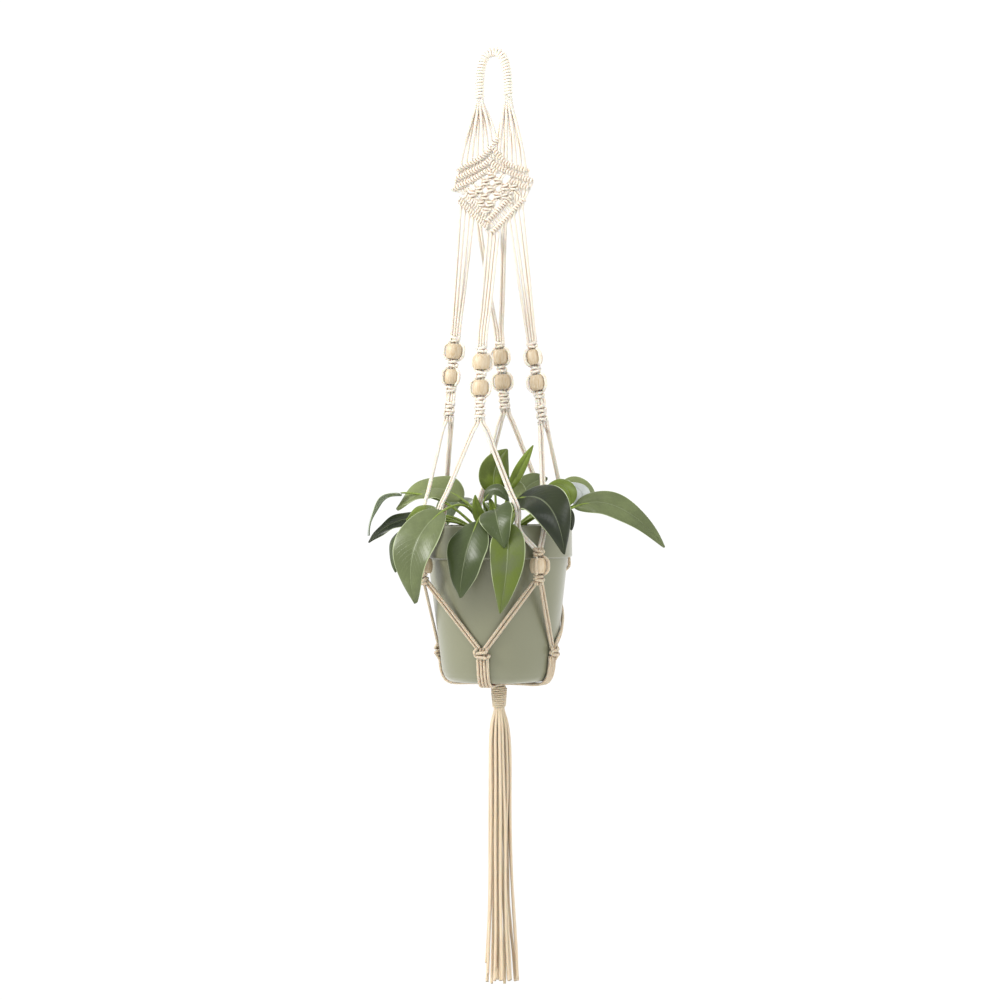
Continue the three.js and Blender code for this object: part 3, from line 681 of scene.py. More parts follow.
def tie(start, end, count=1, cord=CORD, wide=1.0, mirrored=False):
    """The local routes of the left and right cords through `count` square knots from `start` to `end`."""
    tall = (end - start) / count
    hand = -1 if mirrored else 1
    routes = []
    for route in (FRONT_TIE, BACK_TIE):
        points = []
        for knot in range(count):
            for across, front, down in route[:-1]:
                z = start + tall * (knot + down / TIE_LENGTH)
                points.append((hand * across * cord * wide, front * cord, z))
        points.append((hand * route[-1][0] * cord * wide, 0, end))
        routes.append(points)
    return routes[::-1] if mirrored else routes


def beside_bead(middle, forward, hand):
    """The local route of the cord outside a bead, turned `forward` degrees towards the front of it."""
    turn = math.radians(forward)
    points = []
    for down, aside in ((-8.4, 8.2), (-4.7, 11.3), (0, 11.7), (4.7, 11.3), (8.4, 8.2)):
        points.append((hand * aside * math.cos(turn), aside * math.sin(turn), middle + down))
    return points


def place(points, origin, across, down):
    """Points from a knot's own directions into the planter's."""
    front = np.cross(down, across)
    return [origin + across * x + front * y + down * z for x, y, z in points]


def strand_axes(side):
    """A strand's upper bead, and its directions across and down."""
    strand = STRANDS[side]
    bead, split = vec(*strand["bead"]), vec(*strand["split"])
    down = unit(split - bead)
    across = unit(vec(1, 0, 0) - down * down[0])
    return bead, across, down


def strand_end(side):
    """How far below its upper bead a strand splits in two."""
    return BEAD_PITCH + STRANDS[side]["knots"][-1][2] + {"left": 28, "right": 25}.get(side, 10.4) + 2.4


SLOTS = (-1.5, -0.5, 0.5, 1.5)


# ---- Pieces of cotton ----
ARCH_SIDE = ((11, -1.2), (14.2, -10), (15.8, -20), (LOOP_HALF, -32), (LOOP_HALF, WRAP_END_Z))
ARCH = (
    *((-x, 0, z) for x, z in reversed(ARCH_SIDE)), (-6, 0, 4.3), (0, 0, WRAP_OUTER / 2), (6, 0, 4.3),
    *((x, 0, z) for x, z in ARCH_SIDE))


LOOP_CORDS = 5                  # the cords that show where the winding ends


def loop_pieces():
    cord, pitch = size("winding_cord"), size("winding_pitch")
    winding = coil(ARCH, (WRAP_OUTER - cord) / 2, pitch)
    tail = winding[0] + np.array(
        [(0, 0, 0), (2.5, -1.5, 1.0), (4.6, 0.5, 2.2), (4.4, 3.2, 3.5), (2.0, 4.8, 6.0)]) * (1, 1, 0.6)
    windings = Bundle().add(winding, cord / 2, lay=0, section=ROUND_SECTION).add(smooth(tail, 1.2), cord / 2)
    piece = windings.piece("loop_winding", painted_crevice_shade=False)
    finish_piece(piece, material("hanger_cotton"), "hanger", "cotton_cord", "loop_wrapping")
    core = Bundle()
    for i in range(LOOP_CORDS):
        route = coil(ARCH, 2.1, 95, turn=i * 2 * math.pi / LOOP_CORDS, step=2.2)
        core.add(route, 1.45, section=ROUND_SECTION)
    hang_cords(core, "loop_core", "loop_core_cords")


FAN_CORDS, FAN_SPACING, FAN_DEPTH = 8, 2.2, 1.5


def fan_pieces():
    for side, hand in (("left", -1), ("right", 1)):
        fan = Bundle()
        for i in range(FAN_CORDS):
            share = i / (FAN_CORDS - 1)
            x = hand * (LOOP_HALF + (1.5 - i // 2) * FAN_SPACING)
            y = FAN_DEPTH if i % 2 else -FAN_DEPTH
            end = at_share(HITCH_ROWS[f"upper_{side}_1"], 0.97 - 0.9 * share) + vec(0, 0, 1)
            start = vec(hand * LOOP_HALF + (x - hand * LOOP_HALF) * 0.6, y * 0.6, WRAP_END_Z + 3)
            first = vec(x, y, WRAP_END_Z - 6)
            sag = vec(hand * (0.5 - share) * FAN_SPACING, 0, 0)
            points = (
                start, first, mix(first, end, 0.35) + sag, mix(first, end, 0.7) + sag, end - vec(0, 0.4, 2.5))
            fan.add(smooth(points, CORD_STEP), size("cord") * 0.54)
        hang_cords(fan, f"fan_cords_{side}", f"fan_{side}")


def at_share(points, share):
    """A place part of the way along a polyline in the diamond's plane."""
    line = np.array([(x, 0.0, z) for x, z in points])
    along = np.concatenate(([0], np.cumsum(np.linalg.norm(np.diff(line, axis=0), axis=1))))
    return np.array([np.interp(share * along[-1], along, line[:, axis]) for axis in range(3)])


# Cords that pass from one row of hitches to the next: the two rows, the stretch of each, and how many.
ROW_LINKS = (
    ("upper_left_1", (0.12, 0.98), "upper_left_2", (0.0, 0.95), 13),
    ("upper_left_2", (0.0, 0.98), "upper_left_3", (0.0, 0.98), 12),
    ("upper_right_1", (0.0, 0.98), "upper_right_2", (0.08, 0.9), 11),
    ("upper_right_2", (0.0, 0.5), "upper_left_3", (0.25, 0.0), 5),
    ("upper_right_2", (0.5, 1.0), "upper_right_3", (0.1, 1.0), 7),
    ("lower_left_1", (0.0, 1.0), "lower_left_2", (0.08, 0.85), 11),
    ("lower_right_1", (0.0, 1.0), "lower_right_2", (0.2, 0.95), 11),
    ("lower_right_1", (0.78, 1.0), "lower_left_2", (1.0, 0.82), 4),
    ("lower_left_2", (0.9, 1.0), "lower_right_2", (1.0, 0.88), 3),
    ("upper_left_3", (0.62, 1.0), "lower_left_1", (0.2, 0.0), 5),
    ("upper_right_3", (0.0, 1.0), "lower_right_2", (0.35, 0.0), 6),
)


HITCH_RADIUS, HITCH_PITCH, HITCH_CORD = 2.15, 3.25, 3.1
LATTICE_CORD, LATTICE_KNOT_HALF = 2.75, 3.4


def diamond_pieces():
    for name, points in HITCH_ROWS.items():
        hand = 1 if "left" in name else -1
        line = [(x, 0, z) for x, z in points]
        row = Bundle().add(coil(line, HITCH_RADIUS, HITCH_PITCH, lean=hand * 1.1), HITCH_CORD / 2)
        row.add(smooth(line, 2), 1.4)
        hang_cords(row, f"hitches_{name}", f"hitch_row_{name}")
    passing = Bundle()
    for upper, (a, b), lower, (c, d), count in ROW_LINKS:
        for share in np.linspace(0, 1, count):
            top = at_share(HITCH_ROWS[upper], mix(a, b, share))
            low = at_share(HITCH_ROWS[lower], mix(c, d, share))
            back = vec(0, 1.0, 0)
            passing.add(smooth((top + back, mix(top, low, 0.5) + back * 1.2, low + back), CORD_STEP), 1.6)
    hang_cords(passing, "diamond_passing_cords", "diamond_lattice")
    thin, half = LATTICE_CORD, LATTICE_KNOT_HALF
    knots = Bundle()
    for i, (x, z) in enumerate(LATTICE):
        routes = tie(-half, half, 1, thin, mirrored=bool(i % 2))
        routes += [[(slot * thin, 0, -half), (slot * thin, 0, half)] for slot in (-0.5, 0.5)]
        for route in routes:
            knots.add(smooth(place(route, vec(x, -0.4, z), vec(1, 0, 0), vec(0, 0, -1)), 0.9), thin / 2)
    for x, z in LATTICE:
        for up in (1, -1):
            for hand in (-1, 1):
                start = vec(x + hand * 1.6, -0.3, z + up * 2.6)
                near = [(a, b) for a, b in LATTICE if 5 < up * (b - z) < 11 and 1 < hand * (a - x) < 11]
                if near and up > 0:
                    continue
                end = vec(x + hand * 6.2, 0.6, z + up * 8.5)
                if near:
                    a, b = min(near, key=lambda spot: abs(spot[0] - x) + abs(spot[1] - z))
                    end = vec(a - hand * 1.6, -0.3, b - up * 2.6)
                run = unit(end - start)
                aside = vec(-run[2], 0, run[0]) * thin * 0.48
                for side in (-1, 1):
                    middle = mix(start, end, 0.5) + aside * side * 1.15 - vec(0, 0.7, 0)
                    knots.add(smooth((start + aside * side, middle, end + aside * side), 1.2), thin / 2)
    hang_cords(knots, "diamond_square_knots", "diamond_lattice")


def strand_pieces():
    """The plain cords of each strand, and below them its knots and the cords through and round its beads."""
    forward = {"left": (8, 34), "front": (-16, 12), "back": (20, 10), "right": (42, 26)}
    for side, strand in STRANDS.items():
        bead, across, down = strand_axes(side)
        knot_top = -BEAD_CLEAR - KNOT_TALL - 1
        plain = Bundle()
        rng = Random(f"strand {side}")
        for slot, (x, z) in zip(SLOTS, STRAND_TOPS[side]):
            top = vec(x, 0, z)
            low = place([(slot * CORD * 0.83, 0, knot_top - 7)], bead, across, down)[0]
            joint = place([(slot * CORD * 0.83, 0, knot_top + 1)], bead, across, down)[0]
            sway = vec(rng.uniform(-0.5, 0.5), rng.uniform(-1.2, 1.2), 0)
            hook = vec(-1.4 if x < -6 else 1.4 if x > 4 else 0, 0, 4.5)
            points = (top + hook, top, mix(top, low, 0.05) + sway * 0.3, mix(top, low, 0.35) + sway,
                      mix(top, low, 0.7) + sway * 0.8, low, joint)
            plain.add(smooth(points, CORD_STEP))
        hang_cords(plain, f"strand_cords_{side}", f"strand_{side}")

        end = strand_end(side)
        mirrored = side in ("front", "right")
        left, right = tie(knot_top + 1, -BEAD_CLEAR + 0.6, 1, CORD * 0.92, mirrored=mirrored)
        carried = [[(aside * CORD, 0, knot_top), (aside * CORD, 0, end)] for aside in (-0.5, 0.5)]
        routes = [left, *carried, right]
        last = BEAD_PITCH + strand["knots"][0][0]
        for hand, route in ((-1, left), (1, right)):
            route += beside_bead(0, forward[side][0], hand)
        middle = tie(BEAD_CLEAR - 0.6, BEAD_PITCH - BEAD_CLEAR + 0.6, 1, TIE_CORD, mirrored=not mirrored)
        for hand, route, knot in zip((-1, 1), (left, right), middle):
            route += knot + beside_bead(BEAD_PITCH, forward[side][1], hand)
        for start, count, tall in strand["knots"]:
            start += BEAD_PITCH
            reach = tall if start == last else end - 2.4 - start
            stretch = tie(start, start + reach, count, TIE_CORD, mirrored=mirrored)
            left += stretch[0]
            right += stretch[1]
        left.append((-1.3 * CORD, 0, end))
        right.append((1.3 * CORD, 0, end))
        knotted = Bundle()
        for route in routes:
            knotted.add(smooth(place(route, bead, across, down), KNOT_STEP))
        hang_cords(knotted, f"knotted_cords_{side}", f"sinnet_{side}")


def hand_of(rim, angle):
    return 1 if math.sin(math.radians(rim - angle)) > 0 else -1


def arm_pieces():
    for side in STRANDS:
        bead, across, down = strand_axes(side)
        split = strand_end(side)
        arms = Bundle()
        for knot in RIM_KNOTS.values():
            if side not in knot["over"]:
                continue
            rim, angle = knot["over"][side], knot["angle"]
            end_aside = hand_of(rim, angle) * PAIR_ASIDE
            bend, edge = polar(rim, ARM_RADIUS, BEND_Z), polar(rim, ARM_RADIUS, RIM_Z - 2)
            foot = polar(angle, NET_RADIUS - 1, NET_BEAD_Z + BEAD_CLEAR + KNOT_TALL + 2)
            crosswise = 1 if side in ("left", "right") else 0
            hand = 1 if bend[crosswise] > 0 else -1
            slots = (0.5, 1.5) if hand > 0 else (-1.5, -0.5)
            first = place([(hand * CORD * 0.9, 0, split)], bead, across, down)[0]
            level = heading(rim + 90)
            if level.dot(across) < 0:
                level = -level
            for slot, pair in zip(slots, (-1, 1)):
                aside_slot = slot * CORD * 0.9
                start = place([(aside_slot, 0, split - 3), (aside_slot, 0, split + 1)], bead, across, down)
                aside = level * pair * CORD * 0.52
                tangent = heading(angle + 90)
                flip = 1 if tangent.dot(level) > 0 else -1
                points = (*start, mix(first, bend, 0.1) + aside * 1.1, mix(first, bend, 0.4) + aside,
                          mix(first, bend, 0.75) + aside, bend + aside, edge + aside,
                          foot + tangent * (end_aside + flip * pair * CORD * 0.5))
                arms.add(smooth(points, CORD_STEP))
        hang_cords(arms, f"arm_cords_{side}", f"arm_pairs_{side}")


def rim_knot_pieces():
    forward = {"front_right": 48, "front_left": 30, "back_left": 20, "back_right": 35}
    for name, knot in RIM_KNOTS.items():
        angle = knot["angle"]
        down, across = vec(0, 0, -1), heading(angle + 90)
        middle = polar(angle, NET_RADIUS, NET_BEAD_Z)
        top = -BEAD_CLEAR - KNOT_TALL
        low = NET_BEAD_Z - NET_END_Z
        left, right = tie(top - 0.5, -BEAD_CLEAR + 0.4, 1, TIE_CORD)
        lower = tie(BEAD_CLEAR - 0.4, low, 1, TIE_CORD, mirrored=True)
        routes = [left, right]
        for hand, route, knots in zip((-1, 1), routes, lower):
            route.insert(0, (hand * 1.45 * CORD, 0, top - 2.6))
            route += beside_bead(0, forward[name], hand) + knots + [(hand * 1.1 * CORD, 0, low + 3)]
        routes += [[(slot * CORD, 0, top - 2.6), (slot * CORD, 0, low + 3)] for slot in (-0.5, 0.5)]
        cords = Bundle()
        for route in routes:
            cords.add(smooth(place(route, middle, across, down), KNOT_STEP))
        hang_cords(cords, f"rim_knot_cords_{name}", f"rim_knots_{name}", "net_cotton")


def net_pieces():
    lift = CORD / 2 + 1
    for name, knot in RIM_KNOTS.items():
        cords = Bundle()
        for angle, over in BASE_KNOTS.values():
            if name not in over:
                continue
            hand = 1 if (angle - knot["angle"] + 180) % 360 > 180 else -1
            top = polar(knot["angle"], NET_RADIUS - 1, NET_END_Z + 1)
            top = top + heading(knot["angle"] + 90) * hand * PAIR_ASIDE
            low_z = BASE_KNOT_Z + 8
            low = polar(angle, pot_radius(low_z) + lift, low_z) - heading(angle + 90) * hand * 3.6
            upright = unit(np.cross(low - top, unit(top * (1, 1, 0) + low * (1, 1, 0))))
            for pair in (-1, 1):
                points = []
                for share in np.linspace(0, 1, 12):
                    spread = CORD * mix(0.5, 0.55, math.sin(share * math.pi))
                    at = mix(top, low, share) + upright * pair * spread
                    out = math.hypot(at[0], at[1])
                    points.append(at * vec(*[max(out, pot_radius(at[2]) + lift - 0.6) / out] * 2, 1))
                cords.add(smooth(points, CORD_STEP))
        hang_cords(cords, f"net_cords_{name}", f"net_pairs_{name}", "net_cotton")


def base_pieces():
    lift = CORD / 2 + 1
    for side, (angle, _) in BASE_KNOTS.items():
        across = -heading(angle + 90)

        def on(z, aside, proud=0.0):
            radius = pot_radius(z) + lift + proud
            return polar(angle, radius, z) + across * aside

        cords = Bundle()
        for slot in SLOTS:
            points = [on(z, slot * CORD * 1.02) for z in (BASE_KNOT_Z + 9.5, -668, -676, BASE_Z + 16)]
            if abs(slot) > 1:
                points = points[2:]
            for share in (0.25, 0.55, 0.8, 1):
                turn = share * math.pi / 2
                reach = BASE_ROUND + lift
                middle = polar(
                    angle, BASE_RADIUS - BASE_ROUND + reach * math.cos(turn),
                    BASE_Z + BASE_ROUND - reach * math.sin(turn))
                points.append(middle + across * slot * CORD * 1.02)
            points.append(polar(angle, 30, BASE_Z - lift) + across * slot * CORD * 1.02)
            points.append(polar(angle, 12, BASE_Z - lift - 0.4) + across * slot * CORD * 0.95)
            turned = angle - slot * 22.5
            points += [polar(turned, 6.6, BASE_Z - 4.2), polar(turned, 5.2, GATHER_TOP_Z - 4)]
            if abs(slot) > 1:
                hand = -1 if slot < 0 else 1
                top = BASE_KNOT_Z + 7
                route = tie(0, 11.2, 1, CORD, wide=1.5, mirrored=False)[0 if hand < 0 else 1]
                knot = [on(top + 2.4, hand * 1.5 * CORD)]
                knot += [on(top - down, x, front * 0.82 + 1.0) for x, front, down in route[1:-1]]
                points = knot + points
            cords.add(smooth(points, 1.4))
        hang_cords(cords, f"base_net_cords_{side}", f"base_cords_{side}", "net_cotton")


def gather_pieces():
    middle = ((0, 0, GATHER_TOP_Z - 1.2), (0, 0, -718), (0, 0, GATHER_BOTTOM_Z + 1.4))
    winding = coil(middle, (8.1, 7.7, 7.1, 6.5), size("gather_pitch"), step=1.0)
    wound = Bundle().add(winding, size("gather_cord") / 2, section=ROUND_SECTION)
    wound = wound.piece("gather_winding", painted_crevice_shade=False)
    finish_piece(wound, material("tassel_yarn"), "hanger", "tassel_cotton", "gather_wrapping")
    core = Bundle()
    for ring_radius, count in ((4.7, 9), (1.7, 4)):
        for i in range(count):
            turn = 360 * i / count + 11
            levels = (-703, -712, -721, GATHER_BOTTOM_Z + 0.6)
            points = [polar(turn + 14 * (BASE_Z - 3 - z) / 30, ring_radius, z) for z in levels]
            core.add(smooth(points, 2.0))
    core = core.piece("gather_cords")
    finish_piece(core, material("tassel_yarn"), "hanger", "tassel_cotton", "gather_core_cords")


# ---- The tassel ----
TASSEL_START_Z = GATHER_BOTTOM_Z + 2
TASSEL_HEIGHTS = (
    TASSEL_START_Z, -733, -738, -746, -760, -785, -815, -850, -885, -920, -950, -980, -1005, -1022)
TASSEL_REACH = (4.2, 4.8, 6.2, 8.4, 10.2, 11.2, 11.6, 11.7, 11.8, 12.0, 12.8, 14.2, 15.8, 16.8)
TASSEL_RINGS = ((1.0, 14, 0), (0.6, 7, 20), (0.22, 3, 50))   # share of the reach, cords, first angle


def tassel_route(index, rng):
    """One tassel cord's route, in rings from the outside in, each cord a little off its neighbours."""
    for part, count, first in TASSEL_RINGS:
        if index < count:
            break
        index -= count
    turn = first + 360 * index / count + rng.uniform(-5, 5)
    drift, phase, bend = rng.uniform(-22, 22), rng.uniform(0, 6.28), rng.uniform(0.3, 1.0)
    spread = rng.uniform(0.82, 1.08)
    left = max(0.0, -math.cos(math.radians(turn)))
    points = []
    for z, reach in zip(TASSEL_HEIGHTS, TASSEL_REACH):
        share = (TASSEL_START_Z - z) / (TASSEL_START_Z - TASSEL_END_Z)
        loose = min(1.0, share * 4)
        radius = reach * part * mix(1.0, spread, loose)
        wave = math.sin(phase + share * 9) * bend * loose
        at = polar(turn + drift * share, radius + wave * 0.6, z)
        points.append(at + vec(wave, 0.6 * wave, 0) - vec(1.6 * share * share * left, 0, 0))
    last = points[-1]
    end = TASSEL_END_Z + rng.uniform(0.5, 7) + 16 * left * (index % 2)
    if end - last[2] > -4:
        points.pop()
        last = points[-1]
    run = unit(points[-1] - points[-2])
    points.append(last + run * ((last[2] - end) / -run[2]))
    return points


def tassel_pieces():
    rng = Random("tassel cords")
    for index in range(sum(count for _, count, _ in TASSEL_RINGS)):
        line = smooth(tassel_route(index, rng), CORD_STEP)
        radius = np.full(len(line), size("cord") / 2)
        radius[-6:] *= (1.0, 1.02, 1.06, 1.1, 1.1, 1.0)
        name = f"tassel_cord_{index + 1:02d}"
        piece = Bundle().add(line, radius).piece(name)
        piece.data.materials.append(material("tassel_yarn"))
        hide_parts("tassel_cords", "tassel_neck")
        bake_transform(piece)
        size("cord") * MM


# ---- Beads ----
def bead_profile():
    """A barrel bead's outline, from the bottom of its bore round to where it began."""
    profile = [(4.2, -7.4), (4.5, -8.2), (5.1, -8.5)]
    for step in range(11):
        z = -8.3 + 16.6 * step / 10
        profile.append((5.6 + 3.9 * math.cos(math.asin(min(1.0, abs(z) / 8.75))) ** 0.85, z))
    return profile + [(5.1, 8.5), (4.5, 8.2), (4.2, 7.4), (4.2, 0), (4.2, -7.4)]


def bead_pieces():
    pattern = turn_profile("bead_pattern", bead_profile(), 40, hollow=True)
    spots = {}
    for side in STRANDS:
        bead, _, down = strand_axes(side)
        spots[f"bead_{side}_upper"] = (bead, down)
        spots[f"bead_{side}_lower"] = (bead + down * BEAD_PITCH, down)
    for name, knot in RIM_KNOTS.items():
        spots[f"bead_rim_{name}"] = (polar(knot["angle"], NET_RADIUS, NET_BEAD_Z), vec(0, 0, -1))
    for name, (middle, down) in spots.items():
        mesh = pattern.data.copy()
        tilt = Vector((0, 0, 1)).rotation_difference(Vector(-down))
        mesh.transform(Matrix.Translation(Vector(middle * MM)) @ tilt.to_matrix().to_4x4())
        bead = bpy.data.objects.new(f"wooden_{name}", mesh)
        mesh.name = bead.name
        bpy.context.scene.collection.objects.link(bead)
        finish_piece(bead, material("turned_wood"), name, "bead_wood", name)
    bpy.data.objects.remove(pattern)


# ---- Pot, soil and plant ----
def arc(middle, radius, first, last, steps):
    """Points round part of a circle in a turned outline, by angle in degrees."""
    angles = np.radians(np.linspace(first, last, steps))
    return [(middle[0] + radius * math.cos(a), middle[1] + radius * math.sin(a)) for a in angles]


def pot_piece():
    inside = BASE_Z + WALL
    profile = [(1.0, BASE_Z + 1.2), (44, BASE_Z + 1.2), (45.5, BASE_Z + 0.2), (48, BASE_Z)]
    profile += arc((BASE_RADIUS - BASE_ROUND, BASE_Z + BASE_ROUND), BASE_ROUND, -90, -7, 8)
    profile += [(pot_radius(z), z) for z in np.linspace(BASE_Z + BASE_ROUND + 2, COLLAR_BOTTOM_Z - 3, 9)]
    profile += [(BODY_TOP_RADIUS, COLLAR_BOTTOM_Z - 1.2), (BODY_TOP_RADIUS + 1, COLLAR_BOTTOM_Z - 0.4)]
    profile += arc((RIM_RADIUS - 1.6, COLLAR_BOTTOM_Z + 1.6), 1.6, -90, 0, 4)
    profile += [(RIM_RADIUS, COLLAR_BOTTOM_Z + 12), (RIM_RADIUS, RIM_Z - 12)]
    profile += arc((RIM_RADIUS - 1.5, RIM_Z - 1.5), 1.5, 0, 180, 9)
    profile += [(RIM_RADIUS - WALL, RIM_Z - 14), (RIM_RADIUS - WALL, COLLAR_BOTTOM_Z + 7),
                (BODY_TOP_RADIUS - WALL, COLLAR_BOTTOM_Z),
                (BASE_RADIUS - WALL, inside + 8), (BASE_RADIUS - 12, inside), (1.0, inside)]
    pot = turn_profile("planter_pot", profile, 128)
    finish_piece(pot, material("sage_clay"), "pot", "pot_body", "pot")


def soil_piece():
    """Crumbly soil: a turned body whose top is stirred up, with loose lumps on it."""
    edge = RIM_RADIUS - WALL - 0.8
    floor = BASE_Z + WALL + 0.5
    profile = [(2, floor), (BASE_RADIUS - 14, floor), (BASE_RADIUS - 5, BASE_Z + 14),
               (BODY_TOP_RADIUS - WALL - 1.5, COLLAR_BOTTOM_Z), (edge, COLLAR_BOTTOM_Z + 9), (edge, SOIL_Z - 1)]
    profile += [(radius, SOIL_Z) for radius in np.linspace(edge - 2, 1, 34)]
    soil = turn_profile("potting_soil_body", profile, 96)
    for vertex in soil.data.vertices:
        x, y, z = (number / MM for number in vertex.co)
        if z > SOIL_Z - 0.5:
            rough = noise.fractal(Vector((x * 0.16, y * 0.16, 4.0)), 0.9, 2.1, 4)
            vertex.co.z += max(-1.8, rough * 1.9) * MM * min(1.0, (edge - math.hypot(x, y)) / 4)
    rng = Random("soil lumps")
    lumps = []
    for i in range(170):
        start_modelling()
        radius, turn = edge * math.sqrt(rng.uniform(0.12, 0.86)), rng.uniform(0, 360)
        size = rng.uniform(1.0, 4.6)
        spot = polar(turn, radius, SOIL_Z + size * rng.uniform(0.2, 1.4))
        size *= MM
        bpy.ops.mesh.primitive_ico_sphere_add(subdivisions=2, radius=size, location=spot * MM)
        lump = bpy.context.active_object
        for vertex in lump.data.vertices:
            vertex.co *= 1 + 0.35 * noise.noise(vertex.co / size * 1.4 + Vector((i, 0, 0)))
        lump.scale = (rng.uniform(0.8, 1.3), rng.uniform(0.8, 1.3), rng.uniform(0.5, 0.9))
        lumps.append(lump)
    start_modelling()
    for one in (soil, *lumps):
        one.select_set(True)
    bpy.context.view_layer.objects.active = soil
    bpy.ops.object.join()
    bpy.ops.object.transform_apply(location=True, rotation=True, scale=True)
    bpy.ops.object.shade_smooth()
    finish_piece(soil, material("dark_soil"), "pot", "potting_soil", "soil")


def blade_width(t):
    """A blade's half width at part of its length, as a share of its full width."""
    return 0.5 * max(0.012, math.sin(math.pi * t ** 0.75)) ** 0.75


def rib_at(points, t):
    """The place and the direction at part of the way along a leaf's midrib."""
    base, middle, tip = (vec(*point) for point in points)
    control = 2 * middle - 0.5 * base - 0.5 * tip
    at = (1 - t) ** 2 * base + 2 * t * (1 - t) * control + t * t * tip
    return at, unit(2 * (1 - t) * (control - base) + 2 * t * (tip - control))


def leaf_piece(number, rib, width, face, kind):
    """One leaf from a flat grid: bent along its midrib, folded a little, cupped, waved at its edges."""
    start_modelling()
    bpy.ops.mesh.primitive_grid_add(x_subdivisions=12, y_subdivisions=26, size=1, calc_uvs=True)
    leaf = name_piece(f"leaf_{number:02d}")
    leaf.data.uv_layers[0].name = "Blade"
    rng = Random(f"leaf {number}")
    phase, waves, curl = rng.uniform(0, 6.28), rng.uniform(1.6, 2.6), rng.uniform(0.1, 0.2)
    face = unit(vec(*face))
    for vertex in leaf.data.vertices:
        across, t = vertex.co.x * 2, min(1.0, max(0.0, vertex.co.y + 0.5))
        at, run = rib_at(rib, t)
        side = unit(np.cross(run, face))
        up = np.cross(side, run)
        out = across * width * blade_width(t)
        rise = abs(out) * 0.26 - width * curl * abs(across) ** 2.4 * 0.6
        ruffle = math.sin(phase + t * waves * 6.28 + (1.3 if across > 0 else 0))
        rise += ruffle * abs(across) ** 2 * width * 0.035
        rise -= math.exp(-(across / 0.07) ** 2) * 0.45
        vertex.co = (at + side * out + up * rise) * MM
    leaf.data.materials.append(material(f"leaf_{kind}"))
    leaf.data.materials.append(material("leaf_under"))
    mesh_up = leaf.data.polygons[len(leaf.data.polygons) // 2].normal
    if mesh_up.dot(Vector(face)) < 0:
        leaf.data.flip_normals()
    apply_modifier(leaf, "SOLIDIFY", thickness=size("leaf_thickness") * MM, offset=0.0,
                   material_offset=1, material_offset_rim=0)
    apply_modifier(leaf, "SUBSURF", levels=1, render_levels=1)
    start_modelling()
    leaf.select_set(True)
    bpy.context.view_layer.objects.active = leaf
    bpy.ops.object.shade_smooth()
    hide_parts("plant")
    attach(leaf, "pot")


def plant_pieces():
    stalks = Bundle()
    for number, (stalk, rib, width, face, kind) in enumerate(LEAVES, 1):
        leaf_piece(number, rib, width, face, kind)
        base = [vec(*point) for point in stalk]
        base[0] = base[0] + vec(0, 0, -4)
        points = smooth(base + [rib_at(rib, 0.06)[0], rib_at(rib, 0.3)[0] - unit(vec(*face)) * 0.3], 2.5)
        along = np.linspace(0, 1, len(points))
        taper = np.interp(along, (0, 0.25, 0.75, 1), (1, 0.76, 0.6, 0.21)) * size("stalk")
        stalks.add(points, taper, lay=0, section=ROUND_SECTION)
    rng = Random("shoots")
    for _ in range(9):
        turn, reach, tall = rng.uniform(0, 360), rng.uniform(6, 16), rng.uniform(12, 26)
        lean = heading(turn) * reach
        foot = vec(lean[0] * 0.6, lean[1] * 0.6, SOIL_Z - 4)
        middle = foot + lean * 0.2 + vec(0, 0, tall * 0.6)
        points = smooth((foot, middle, foot + lean * 0.9 + vec(0, 0, tall)), 2.5)
        stalks.add(points, np.linspace(2.0, 0.5, len(points)), lay=0, section=ROUND_SECTION)
    finish_piece(stalks.piece("leaf_stalks"), material("leaf_stalk"), "pot", "leaf", "plant")


# ---- The stage ----
def area_light(name, place_at, target, size, power, color=(1, 1, 1)):
    light = bpy.data.lights.new(name, "AREA")
    light.energy, light.size, light.color = power, size, color
    lamp = bpy.data.objects.new(name, light)
    bpy.context.scene.collection.objects.link(lamp)
    lamp.location = place_at
    lamp.rotation_euler = (Vector(target) - Vector(place_at)).to_track_quat("-Z", "Y").to_euler()
    return light


